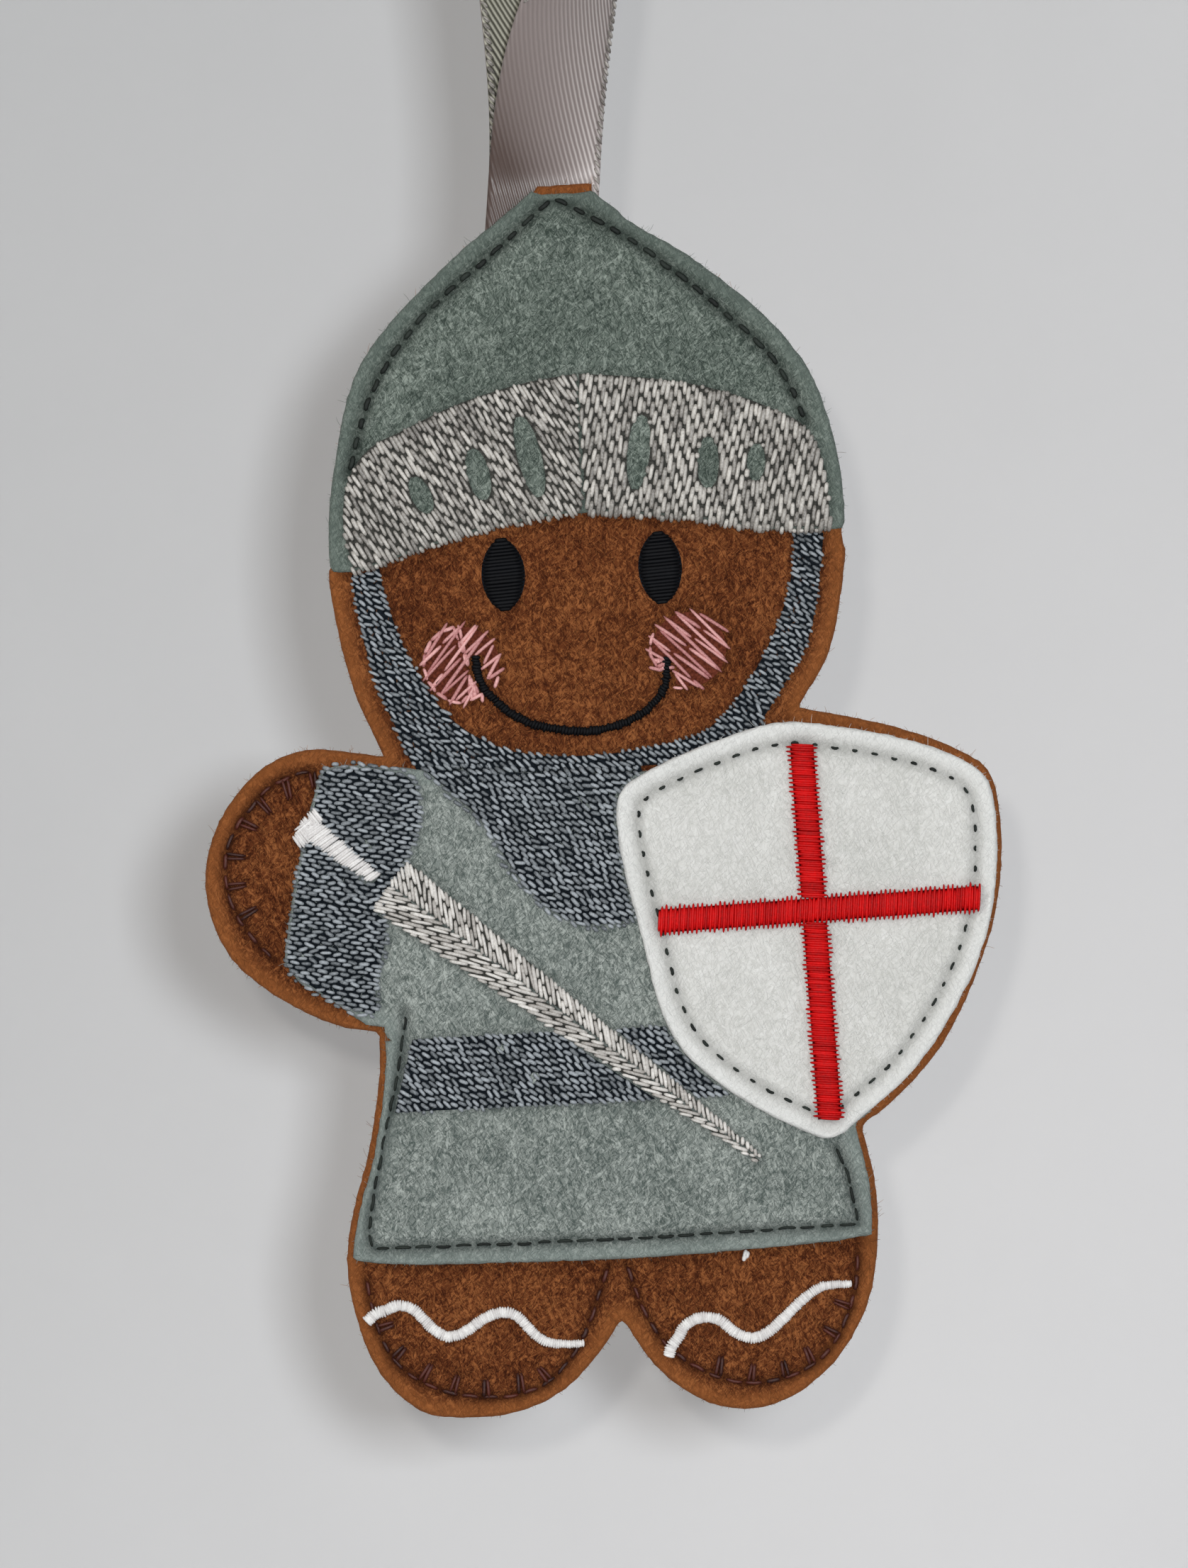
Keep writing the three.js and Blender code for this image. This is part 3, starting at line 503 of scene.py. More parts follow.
def filled(name, loops, ground, material, degrees, pitch, reach, rise, half_width, stagger=0.5, grow=0.0,
           clear=0.0, gap=0.0, wobble=0.0, turn=0.0, ragged=0.1, lower=None, loose=0.1, zigzag=0.0):
    """An area filled with rows of stitches of one length, laid like bricks. Past the cloth given as lower, by
    its outline and the level below it, they go down over its edge"""
    area = [grown(loop, -clear if k else grow) for k, loop in enumerate(loops)]
    pitch, reach, gap, wobble, ragged = (size * MM for size in (pitch, reach, gap, wobble, ragged))
    angle = math.radians(degrees)
    way = np.array((math.cos(angle), math.sin(angle)))
    over = np.array((-way[1], way[0]))
    strands = Strands()
    for row, start, end, level in rows_of(area, way, over, pitch):
        start += rng.uniform(-ragged, ragged)
        end += rng.uniform(-ragged, ragged)
        first = math.floor(start / reach - row * stagger) + 1 + row * stagger
        count = int((end - start) / reach) + 1
        marks = [(first + k + rng.uniform(-loose, loose)) * reach for k in range(count)]
        marks = [m for m in marks if start + 0.25 * reach < m < end - 0.25 * reach]
        drift = level + wobble * noise.noise((row * 0.37, 0.5, 0.5))
        for u0, u1 in zip([start, *marks], [*marks, end]):
            lean = rng.gauss(0, turn) * (u1 - u0) / 2
            tilts = [(2 * (u - start) / (end - start) - 1) * zigzag * pitch / 2 * (-1) ** row
                     for u in (u0, u1)]
            sides = (drift + rng.uniform(-wobble, wobble) / 2 - lean + tilts[0],
                     drift + rng.uniform(-wobble, wobble) / 2 + lean + tilts[1])
            ends = [(way * u + over * side).tolist() for u, side in zip((u0 + gap / 2, u1 - gap / 2), sides)]
            levels = tuple(lower[1] if lower and not inside(place, [lower[0]]) else ground for place in ends)
            stitch(strands, *ends, levels, rise, half_width)
    return strands.build(name, material)


def satin(name, line, width, ground, rise, pitch, half_width, material, slant=0.0, ragged=0.1, teeth=0.0,
          widths=(1, 1)):
    """A satin column: stitches side by side across a line, every other one longer by the length of teeth.
    widths are shares of its width on the way"""
    strands = Strands()
    points = resampled(line, pitch)
    shares = np.interp(np.linspace(0, 1, len(points)), np.linspace(0, 1, len(widths)), widths).tolist()
    for i, ((x, z), (nx, nz)) in enumerate(zip(points, normals_of(points))):
        half = (width * shares[i] + (teeth if i % 2 else -teeth)) / 2 * MM
        left, right = half + rng.uniform(-ragged, ragged) * MM, half + rng.uniform(-ragged, ragged) * MM
        lean = slant * half
        a = (x + nx * left + nz * lean, z + nz * left - nx * lean)
        b = (x - nx * right - nz * lean, z - nz * right + nx * lean)
        stitch(strands, a, b, ground, rise, half_width, arch=0.45, steps=LONG_STEPS)
    return strands.build(name, material)


def running(name, holes, ground, share, half_width, material, rise=0.06, uneven=0.1, toward=-1, marks=()):
    """A seam of running stitches from hole to hole, and a pair of stitches at each of the marks beside it"""
    strands = Strands()
    for a, b in zip(holes, holes[1:]):
        cut = (1 - share * rng.uniform(1 - uneven, 1 + uneven)) / 2
        ends = [(a[0] + (b[0] - a[0]) * t, a[1] + (b[1] - a[1]) * t) for t in (cut, 1 - cut)]
        stitch(strands, *ends, ground, rise, half_width, sink=0.45, arch=0.5, sway=0.12, toward=toward)
    for (x0, z0), (x1, z1) in marks:
        reach = math.dist((x0, z0), (x1, z1))
        for off in (-0.2 * MM, 0.2 * MM):
            dx, dz = (z1 - z0) / reach * off, (x0 - x1) / reach * off
            foot, tip = (x0 + dx * 1.3, z0 + dz * 1.3), (x1 + dx * 0.7, z1 + dz * 0.7)
            stitch(strands, foot, tip, BODY_FRONT + 0.12 * MM, 0.16, 0.18, sink=0.4, arch=0.5)
    return strands.build(name, material)


# Materials, with colours as they are on a screen, from 0 to 255
def rgb(values):
    shares = [value / 255 for value in values]
    return (*(s / 12.92 if s <= 0.04045 else ((s + 0.055) / 1.055) ** 2.4 for s in shares), 1.0)


def node_maker(tree):
    """A way to add nodes to a tree, with values and links for their inputs"""
    def node(kind, values=None, links=None, **settings):
        made = tree.nodes.new(kind)
        for key, value in settings.items():
            setattr(made, key, value)
        for key, value in (values or {}).items():
            made.inputs[key].default_value = value
        for key, source in (links or {}).items():
            tree.links.new(source, made.inputs[key])
        return made

    return node


def shader(name, roughness, specular, **more):
    """A new material, a way to add nodes to it, and a way to link them to its Principled shader"""
    material = bpy.data.materials.new(name)
    material.use_nodes = True
    tree = material.node_tree
    inputs = tree.nodes["Principled BSDF"].inputs
    for key, value in {"Roughness": roughness, "Specular IOR Level": specular, **more}.items():
        inputs[key].default_value = value
    return material, node_maker(tree), lambda source, socket: tree.links.new(source, inputs[socket])


def place_of(node):
    return node("ShaderNodeTexCoord").outputs["Object"]


def mark_of(node, name):
    return node("ShaderNodeAttribute", attribute_name=name).outputs["Fac"]


def noise_of(node, place, scale, detail, roughness=0.5):
    values = {"Scale": scale, "Detail": detail, "Roughness": roughness}
    return node("ShaderNodeTexNoise", values, {"Vector": place}).outputs["Fac"]


def math_of(node, operation, *terms):
    """A sum or product and the like of sockets and numbers"""
    made = node("ShaderNodeMath", operation=operation)
    for k, term in enumerate(terms):
        if isinstance(term, (int, float)):
            made.inputs[k].default_value = term
        else:
            made.id_data.links.new(term, made.inputs[k])
    return made.outputs[0]


def greatest(node, first, *others):
    for other in others:
        first = math_of(node, "MAXIMUM", first, other)
    return first


def swung(node, source, gain, base):
    """A socket that varies round one half, taken by a gain round another value"""
    return math_of(node, "MULTIPLY_ADD", math_of(node, "SUBTRACT", source, 0.5), gain, base)


def mapped(node, source, low, high, first=0.0, last=1.0):
    """A socket taken from one span to another"""
    values = {"From Min": low, "From Max": high, "To Min": first, "To Max": last}
    return node("ShaderNodeMapRange", values, {"Value": source}).outputs["Result"]


def ramp(node, source, *stops):
    """A colour ramp from (place, colour) stops"""
    made = node("ShaderNodeValToRGB", links={"Fac": source})
    elements = made.color_ramp.elements
    while len(elements) < len(stops):
        elements.new(0.5)
    for element, (place, colour) in zip(elements, stops):
        element.position = place
        element.color = rgb(colour)
    return made.outputs["Color"]


def toned(node, share, first, colour):
    """A colour drawn towards another one by a share"""
    return node("ShaderNodeMix", {7: colour}, {0: share, 6: first}, data_type="RGBA").outputs[2]


def relief(node, link, height, strength, depth):
    bump = node("ShaderNodeBump", {"Strength": strength, "Distance": depth * MM}, {"Height": height})
    link(bump.outputs["Normal"], "Normal")


def fibre_lines(node, place, turn, across, along, thick):
    """Thin lines that wander at a slant over the cloth: 1 on a line and 0 between them"""
    values = {"Rotation": (0, turn, 0), "Scale": (across * MM, across * MM, along * MM)}
    turned = node("ShaderNodeMapping", values, {"Vector": place}, vector_type="TEXTURE")
    waves = noise_of(node, turned.outputs["Vector"], 1.0, 1.0)
    off = math_of(node, "ABSOLUTE", math_of(node, "SUBTRACT", waves, 0.5))
    return mapped(node, off, 0.0, thick, 1.0, 0.0)


PALE_FIBRES = ((0.1, 2.4), (1.1, 1.9), (-0.9, 2.1))
DARK_FIBRES = ((-0.4, 2.0), (0.7, 1.6))


def felt_material(name, dark, middle, light, rim, glow, flecked=1.0):
    """Needle felt: pale and dark fibres that cross at random over soft uneven patches. It is paler along its
    loose rim, and painted shade darkens it in the ditches where stitches pull it in"""
    material, node, link = shader(name, 0.95, 0.1, **{"Sheen Weight": 0.25, "Sheen Tint": rgb(glow)})
    place = place_of(node)
    pale, deep = (
        greatest(node, *(fibre_lines(node, place, turn, across, along, thick) for turn, along in fibres))
        for fibres, across, thick in ((PALE_FIBRES, 0.5, 0.035), (DARK_FIBRES, 0.45, 0.04)))
    fibres = math_of(node, "MULTIPLY_ADD", math_of(node, "SUBTRACT", pale, deep), 0.36 * flecked, 0.5)
    spots = swung(node, noise_of(node, place, 1 / (0.6 * MM), 3.0, 0.7), 0.8 * flecked, fibres)
    value = swung(node, noise_of(node, place, 1 / (7 * MM), 2.0), 0.45, spots)
    colour = ramp(node, value, (0.12, dark), (0.5, middle), (0.9, light))
    rimmed = toned(node, math_of(node, "MULTIPLY", mark_of(node, "edge"), 0.6), colour, rgb(rim))
    # Painted shade: the felt is drawn towards a dark shade where the stitches' ditches pull it in
    shade = (*(0.4 * c for c in rgb(dark)[:3]), 1.0)
    link(toned(node, math_of(node, "MULTIPLY", mark_of(node, "pull"), 0.65), rimmed, shade), "Base Color")
    relief(node, link, spots, 0.8, 0.14)
    return material


def tint_material(name, dark, light, roughness=0.8, specular=0.15, grain=None):
    """Fibres or thread: each one is a little lighter or darker, and its plies show as fine flecks"""
    material, node, link = shader(name, roughness, specular)
    tint = mark_of(node, "tint")
    if grain:
        plies = noise_of(node, place_of(node), 1 / (grain * MM), 2.0, 0.6)
        tint = node("ShaderNodeMix", {0: 0.5}, {2: tint, 3: swung(node, plies, 1.6, 0.5)}).outputs[0]
        relief(node, link, plies, 0.6, 0.05)
    link(ramp(node, tint, (0.1, dark), (0.9, light)), "Base Color")
    return material


def thread_material(name, dark, light, roughness=0.45, specular=0.3):
    return tint_material(name, dark, light, roughness, specular, grain=0.22)


def plain_cloth(name, dark, light, grain=0.25):
    """Shaded cloth seen between stitches"""
    material, node, link = shader(name, 0.95, 0.05)
    flecks = noise_of(node, place_of(node), 1 / (grain * MM), 2.0)
    link(ramp(node, flecks, (0.3, dark), (0.7, light)), "Base Color")
    return material


gingerbread = felt_material(
    "gingerbread felt", (56, 24, 10), (97, 51, 26), (150, 92, 52), (156, 94, 50), (190, 120, 72))
back_brown = felt_material(
    "back felt", (96, 52, 22), (140, 82, 42), (178, 116, 66), (165, 104, 58), (225, 160, 100))
# The hood's felt is darker than the tunic's, as painted shade for the less light that falls on the hood
hood_grey = felt_material(
    "hood felt", (58, 68, 62), (100, 110, 102), (148, 157, 148), (104, 115, 108), (165, 176, 170))
tunic_grey = felt_material(
    "tunic felt", (80, 90, 86), (128, 135, 130), (176, 182, 176), (136, 146, 141), (180, 190, 185))
white_felt = felt_material(
    "white felt", (194, 194, 188), (216, 215, 210), (234, 233, 229), (234, 234, 231), (250, 250, 250), 0.6)
silver_thread = thread_material("silver thread", (72, 67, 62), (216, 211, 203), 0.38, 0.4)
blade_thread = thread_material("blade thread", (134, 128, 121), (240, 236, 230))
mail_thread = thread_material("mail thread", (44, 50, 54), (172, 178, 183), 0.4, 0.35)
white_thread = thread_material("white thread", (204, 199, 197), (246, 244, 241))
red_thread = thread_material("red thread", (150, 0, 2), (222, 5, 7), 0.5, 0.2)
black_thread = thread_material("black thread", (2, 2, 4), (9, 10, 14), 0.6, 0.12)
pink_thread = thread_material("pink thread", (150, 80, 80), (240, 182, 178))
brown_thread = thread_material("brown thread", (24, 7, 4), (86, 36, 24), 0.5)
green_thread = thread_material("dark green thread", (8, 11, 10), (40, 47, 42), 0.6, 0.2)
mail_shade = plain_cloth("shade under mail", (10, 13, 17), (30, 36, 42))
visor_shade = plain_cloth("shade under visor", (38, 38, 36), (84, 83, 78))
pink_shade = plain_cloth("shade under cheeks", (70, 30, 20), (116, 60, 44))
red_shade = plain_cloth("shade under the cross", (60, 2, 8), (110, 4, 10))
stabiliser = plain_cloth("stabiliser", (208, 206, 198), (232, 231, 224), 0.8)

# What is cut and sewn: outlines of felt and of embroidered fields, and lines of beads and seams
body_loop, hood_loop, tunic_loop, shield_loop = (
    loops_of(f"{name}_felt")[0] for name in ("front", "hood", "tunic", "shield"))
visor_loops = {side: loops_of(f"visor_{side}") for side in SIDES}
mail_loops = {node: loops_of(node) for node in (
    "coif_mail", "chest_mail", "sleeve_mail", "belt_mail_left", "belt_mail_right")}
cheek_loops = {side: loops_of(f"cheek_{side}")[0] for side in SIDES}
blade_loops = {side: footprint(f"sword_blade_{side}") for side in ("upper", "lower")}
smile_line = crown_of("smile")
icing_lines = {side: crown_of(f"icing_{side}") for side in SIDES}
cross_lines = {
    "cross_bar": extended(crown_of("cross_bar"), 0.8, 1.5),
    "cross_post_upper": extended(downward(crown_of("cross_post_upper")), 0.9, 0.35),
    "cross_post_lower": extended(downward(crown_of("cross_post_lower")), 0.35, 1.7),
}
seams = {node: holes_of(node) for node in (
    "hood_stitch", "tunic_stitch", "hand_stitch", "foot_stitch_left", "foot_stitch_right")}
seams["shield_stitch"] = rejoined(holes_of("shield_stitch"))
seams["back_stitch"] = resampled(rejoined(crown_of("back_stitch", toward=1)), 2)

# The seam of the hood rises to a point, which is wider on its left, and runs on beside the visor
PEAK, PEAK_RISE, PEAK_LEFT, PEAK_RIGHT = -1.5 * MM, 0.85 * MM, 3.6 * MM, 1.2 * MM
line = [(x, z + PEAK_RISE * math.exp(-((x - PEAK) / (PEAK_LEFT if x < PEAK else PEAK_RIGHT)) ** 2))
        for x, z in seams["hood_stitch"]]
line = [beyond(line[1], line[0]), *line]
seams["hood_stitch"] = [beyond(line[1], line[0]), *line, beyond(line[-2], line[-1])]

# Stitches from a seam towards the middle of a hand or foot: how far along it they start, and how many
TICKS = {"hand_stitch": (5.4, 7), "foot_stitch_left": (5.4, 7), "foot_stitch_right": (15, 6)}
TICK_PITCH = 3.3
TICK_REACH = 2
TICK_STEP = 0.1


def tick_marks(line, start, count):
    """Where they go down, at the seam and beyond it"""
    points = resampled(line, TICK_STEP)
    sides = normals_of(points)
    middle = np.mean(body_loop, axis=0)
    marks = []
    for k in range(count):
        i = round((start + TICK_PITCH * (k + rng.uniform(-0.08, 0.08))) / TICK_STEP)
        i = min(i, len(points) - 1)
        (x, z), (nx, nz) = points[i], sides[i]
        if (middle[0] - x) * nx + (middle[1] - z) * nz < 0:
            nx, nz = -nx, -nz
        lean = rng.uniform(-0.2, 0.2)
        reach = TICK_REACH * rng.uniform(0.85, 1.1) * MM
        marks.append(((x, z), (x + (nx + nz * lean) * reach, z + (nz - nx * lean) * reach)))
    return marks


ticks = {node: tick_marks(seams[node], *where) for node, where in TICKS.items()}
edge_seams = [seams[node] for node in TICKS]
body_ditches = [
    valley(edge_seams, 0.48, 0.4),
    valley([mark for marks in ticks.values() for mark in marks], 0.42, 0.24),
    valley([rejoined(mail_loops["coif_mail"][0]), smile_line, *icing_lines.values(),
            *map(rejoined, cheek_loops.values())], 0.5, 0.14),
]
hood_ditches = [
    valley([seams["hood_stitch"]], 0.7, 0.45),
    valley([rejoined(loops[0]) for loops in visor_loops.values()], 0.5, 0.16),
]
tunic_ditches = [
    valley([seams["tunic_stitch"]], 0.6, 0.4),
    valley([*(rejoined(loops[0]) for node, loops in mail_loops.items() if node != "coif_mail"),
            *map(rejoined, blade_loops.values())], 0.5, 0.16),
]
shield_ditches = [
    valley([seams["shield_stitch"]], 0.6, 0.28),
    valley(list(cross_lines.values()), 1.7, 0.14),
]
back_ditches = [valley([seams["back_stitch"]], 0.8, 0.45)]

# The hood hides the brown felt at its flanks, and shows it at the crown. Its slopes are fuller than in the
# CAD, and its right corner is lower: the middle of each place, how far it reaches, and by how much
SLOPES = (
    ((-16.7 * MM, -80.8 * MM), 10.5 * MM, 1.05),
    ((13.4 * MM, -79.2 * MM), 12.5 * MM, 0.72),
    ((3.0 * MM, -69.6 * MM), 2.2 * MM, -0.5),
)
HOOD_LOW = min(z for _, z in hood_loop) + 0.4 * MM


def trimmed(loop, flank, crown, low):
    """An outline moved outwards by the flank and crown distances where it is above a level"""
    ring = ring_of(loop, 0.6)
    result = []
    for (x, z), (nx, nz) in zip(ring, normals_of(ring, closed=True)):
        out = 0
        if z > low and nz < 0.5:
            fuller = sum(gain * math.exp(-(math.dist((x, z), middle) / reach) ** 4)
                         for middle, reach, gain in SLOPES)
            out = (crown if nz < -0.9 else flank + fuller) * MM
        result.append((x - nx * out, z - nz * out))
    return result


def on_figure(made, slot, *nodes):
    """A piece of the figure, and the solids that it stands for"""
    if nodes:
        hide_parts(*nodes)
    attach(made, "figure")
    return made


# Felt panels: their slot, outline, front level, depth, felt, and ditches in front and behind
hood_edge = trimmed(hood_loop, 0.25, -0.4, -1)
body_edge = trimmed(body_loop, -0.45, 0, HOOD_LOW)
PANELS = {
    "front_felt": ("gingerbread_felt", body_edge, BODY_FRONT, PANEL_DEPTH, gingerbread, body_ditches),
    "back_felt": (
        "back_felt", body_edge, BACK_FACE - PANEL_DEPTH, PANEL_DEPTH, back_brown, (), back_ditches),
    "hood_felt": ("grey_felt", hood_edge, PATCH_FRONT, PATCH_DEPTH, hood_grey, hood_ditches),
    "tunic_felt": ("grey_felt", tunic_loop, PATCH_FRONT, PATCH_DEPTH, tunic_grey, tunic_ditches),
    "shield_felt": ("white_felt", shield_loop, SHIELD_FRONT, PATCH_DEPTH, white_felt, shield_ditches),
}
panels = {}
for node, (slot, loop, front, depth, *rest) in PANELS.items():
    spacing = 0.55 if loop is body_edge else 0.42
    made = felt_slab(f"{node}_cloth", loop, front + depth, front, *rest, spacing=spacing)
    panels[node] = on_figure(made, slot, node)

# Their fibres: dark and light, how many stand on the rim and lie on the face, what covers it, and its seams
patches = (hood_loop, tunic_loop, shield_loop)
FIBRES = {
    "front_felt": ((84, 42, 20), (164, 106, 60), 1500, 2600, patches, edge_seams),
    "back_felt": ((132, 74, 32), (196, 132, 78), 1500, 0, (), ()),
    "hood_felt": ((76, 88, 82), (154, 164, 156), 900, 1600, (), (seams["hood_stitch"],)),
    "tunic_felt": ((96, 106, 100), (176, 184, 178), 900, 2200, (shield_loop,), (seams["tunic_stitch"],)),
    "shield_felt": ((206, 206, 201), (236, 236, 233), 600, 700, (), (seams["shield_stitch"],)),
}
for node, (dark, light, *rest) in FIBRES.items():
    slot, loop, front, depth = PANELS[node][:4]
    material = tint_material(f"{node} fibres", dark, light)
    on_figure(fuzz(f"{node}_fibres", loop, front + depth, front, material, *rest), slot)

behind = BODY_FRONT + PANEL_DEPTH
backing = felt_slab("backing_cloth", loops_of("backing_sheet")[0], behind + 0.3 * MM, behind, stabiliser,
                    spacing=1.6, edge=0.1, nap=0.02)
on_figure(backing, "backing", "backing_sheet")


# Embroidered fields
def field(node, slot, ground, under, shade, proud, loops, thread, sunk=0.3, **style):
    """The shade under a field of the figure, and its threads"""
    on_figure(underlay(f"{node}_underlay", under, ground, shade, proud, sunk), slot)
    on_figure(filled(f"{node}_threads", loops, ground, thread, **style), slot, node)


VISOR = dict(pitch=0.42, reach=2.15, rise=0.28, stagger=0.38, grow=0.1, clear=0.24, gap=0.3, wobble=0.12,
             turn=0.04, ragged=0.2, loose=0.15)
for side, degrees, half_width in (("left", -60, 0.21), ("right", 79, 0.235)):
    rim, *slots = visor_loops[side]
    field(f"visor_{side}", "silver_thread", PATCH_FRONT, [rim, *(grown(hole, -0.2, 0.5) for hole in slots)],
          visor_shade, 0.06, [hung(rim, 0.7), *slots], silver_thread, degrees=degrees, half_width=half_width,
          lower=(hood_edge, BODY_FRONT), **VISOR)

# The collar's mail runs on over the edge of the tunic to the mail round the face
collar = grown(mail_loops["chest_mail"][0], 1.2)
on_figure(underlay("collar_underlay", [collar], BODY_FRONT, mail_shade, 0.1), "mail_thread")
MAIL = dict(pitch=0.46, reach=1.12, rise=0.2, gap=0.2, wobble=0.16, turn=0.15, ragged=0.15)
mail_loops["sleeve_mail"] = [hung(mail_loops["sleeve_mail"][0], 0.9)]
past_tunic = (tunic_loop, BODY_FRONT - 0.1 * MM)
for node, ground, half_width, degrees, grow, lower in (
        ("coif_mail", BODY_FRONT, 0.17, -38, 0.2, None),
        ("chest_mail", PATCH_FRONT, 0.195, -38, 0.6, past_tunic),
        ("sleeve_mail", PATCH_FRONT, 0.195, -12, 0.55, past_tunic),
        ("belt_mail_left", PATCH_FRONT, 0.195, -38, 0.15, None),
        ("belt_mail_right", PATCH_FRONT, 0.195, -38, 0.15, None)):
    field(node, "mail_thread", ground, mail_loops[node], mail_shade, 0.04, mail_loops[node], mail_thread,
          degrees=degrees, half_width=half_width, grow=grow, lower=lower, **MAIL)

BLADE = dict(pitch=0.36, reach=2.4, rise=0.42, half_width=0.18, stagger=0.4, grow=0.15, gap=0.12,
             wobble=0.12, turn=0.04)
for side, degrees in (("upper", 97), ("lower", -18)):
    loops = [blade_loops[side]]
    field(f"sword_blade_{side}", "silver_thread", PATCH_FRONT, loops, visor_shade, 0.1, loops, blade_thread,
          degrees=degrees, **BLADE)

grip_line = extended(crown_of("sword_grip"), 1.0, 0)
pommel_line = [(x + 0.35 * MM, z - 0.5 * MM) for x, z in crown_of("sword_pommel")]
for node, line, widths in (("sword_grip", grip_line, (1.55, 1.4, 1.2, 1.0, 0.8)),
                           ("sword_pommel", pommel_line, (1.0, 1.15, 0.9))):
    width = abs(area_of(footprint(node))) / length_of(crown_of(node)) / MM
    on_figure(satin(f"{node}_threads", line, width, PATCH_FRONT, 0.4, 0.25, 0.15, white_thread, slant=0.3,
                    ragged=0.18, widths=widths), "white_thread", node)

for node, line in cross_lines.items():
    under = underlay(f"{node}_underlay", [band_of(line, 2.3)], SHIELD_FRONT, red_shade, 0.05, 0.25)
    on_figure(under, "red_thread")
    on_figure(satin(f"{node}_threads", line, 2.55, SHIELD_FRONT, 0.42, 0.22, 0.14, red_thread, slant=0.12,
                    ragged=0.14, teeth=0.42), "red_thread", node)

EYE_WIDTH = 4.3 * MM
EYE_HEIGHT = 7.2 * MM
EYE_POWER = 0.62
EYE_SHARES = [(k + 0.5) / 20 - 1 for k in range(40)]
EYE = dict(degrees=3, pitch=0.34, reach=9, rise=0.4, half_width=0.2, grow=0.05, ragged=0.06)
for node in ("eye_left", "eye_right"):
    outline = footprint(node)
    x, z = ((np.min(outline, axis=0) + np.max(outline, axis=0)) / 2).tolist()
    loops = [[(x + way * EYE_WIDTH / 2 * (1 - s * s) ** EYE_POWER, z + way * EYE_HEIGHT / 2 * s)
              for way in (1, -1) for s in EYE_SHARES]]
    field(node, "black_thread", BODY_FRONT, loops, mail_shade, 0.06, loops, black_thread, **EYE)

# Each cheek is a zigzag of thread, with a line of stitches round part of its rim, from one angle to another
CHEEK = dict(pitch=0.6, reach=6, rise=0.3, half_width=0.18, grow=0.2, gap=0.1, wobble=0.12, turn=0.02,
             ragged=0.35, zigzag=0.9)
for side, degrees, first, last in (("left", 47, 100, 290), ("right", -42, 140, 235)):
    loop = cheek_loops[side]
    field(f"cheek_{side}", "pink_thread", BODY_FRONT, [grown(loop, -0.2)], pink_shade, 0.04, [loop],
          pink_thread, sunk=0.2, degrees=degrees, **CHEEK)
    middle = np.mean(loop, axis=0)
    turns = sorted((math.degrees(math.atan2(z - middle[1], x - middle[0])) % 360, (x, z))
                   for x, z in ring_of(loop, 0.4))
    rim = resampled([p for angle, p in turns if first < angle < last], 1.4)
    made = running(f"cheek_{side}_rim", rim, BODY_FRONT, 0.95, 0.19, pink_thread, rise=0.3)
    on_figure(made, "pink_thread")

# The icing runs on past its beads: two points before its start, and how far beyond its end
ICING_WIDTHS = (1.1, 1, 1, 1, 1, 0.9, 0.6)
for side, starts, run_on in (("left", ((-1.7, -0.9), (-0.8, -0.1)), 1.6),
                             ("right", ((-1.0, -1.7), (-0.7, -0.8)), 1.0)):
    line = icing_lines[side]
    (x, z), (end_x, end_z) = line[0], line[-1]
    line = [*((x + dx * MM, z + dz * MM) for dx, dz in starts), *line, (end_x + run_on * MM, end_z)]
    on_figure(satin(f"icing_{side}_threads", line, 1.05, BODY_FRONT, 0.42, 0.22, 0.15, white_thread,
                    ragged=0.05, widths=ICING_WIDTHS), "white_thread", f"icing_{side}")

# A loose end of white thread under the hem
strands = Strands()
stitch(strands, (12.1 * MM, -175.3 * MM), (11.8 * MM, -176.4 * MM), BODY_FRONT, 0.2, 0.22)
stitch(strands, (12.3 * MM, -175.5 * MM), (12.1 * MM, -176.1 * MM), BODY_FRONT, 0.2, 0.2)
on_figure(strands.build("thread_end", white_thread), "white_thread")
on_figure(satin("smile_threads", smile_line, 0.78, BODY_FRONT, 0.36, 0.3, 0.19, black_thread, slant=0.2),
          "black_thread", "smile")

# Seams: their level, thread, the share of each gap that is seen, half their width, and how uneven they are
for node, ground, thread, share, half_width, uneven in (
        ("hood_stitch", PATCH_FRONT + 0.25 * MM, green_thread, 0.66, 0.24, 0.2),
        ("tunic_stitch", PATCH_FRONT + 0.24 * MM, green_thread, 0.78, 0.15, 0.2),
        *((node, BODY_FRONT + 0.22 * MM, brown_thread, 0.74, 0.2, 0.2) for node in TICKS),
        ("shield_stitch", SHIELD_FRONT + 0.16 * MM, green_thread, 0.32, 0.15, 0.4),
        ("back_stitch", BACK_FACE - 0.24 * MM, brown_thread, 0.75, 0.18, 0.1)):
    made = running(f"{node}_threads", seams[node], ground, share, half_width, thread, uneven=uneven,
                   toward=1 if node == "back_stitch" else -1, marks=ticks.get(node, ()))
    on_figure(made, "brown_thread", node)

# Ribbon, as in the solid that it replaces, with heights above the crown
RIBBON_WIDTH = 11 * MM
RIBBON_THICKNESS = 0.28 * MM
LOOP_RISE = 70 * MM
LOOP_RADIUS = 9 * MM
LOOP_BOW = 4.5 * MM
TWIST_HEIGHT = 45 * MM
TAIL_DEPTH = 16 * MM
TAIL_TOP = 1.4 * MM
SEAM_OFFSET = 2.4 * MM
HINGE_RISE = 2.45 * MM
STRAND_OFFSET = 0.3 * MM
TAIL_OFFSET = 0.15 * MM
ARC_LEVEL = LOOP_RISE + 0.15 * MM - LOOP_RADIUS
HANDLES = ((STRAND_OFFSET, HINGE_RISE), (LOOP_BOW, ARC_LEVEL * 0.33), (LOOP_RADIUS, ARC_LEVEL * 0.66),
           (LOOP_RADIUS, ARC_LEVEL))
LEAN_POWER = 3
TWIST_EASE_SHARE = 0.35


def twist(z):
    share = min(1, max(0, z / TWIST_HEIGHT))
    return math.pi / 2 * (share - TWIST_EASE_SHARE * math.sin(2 * math.pi * share) / (2 * math.pi))


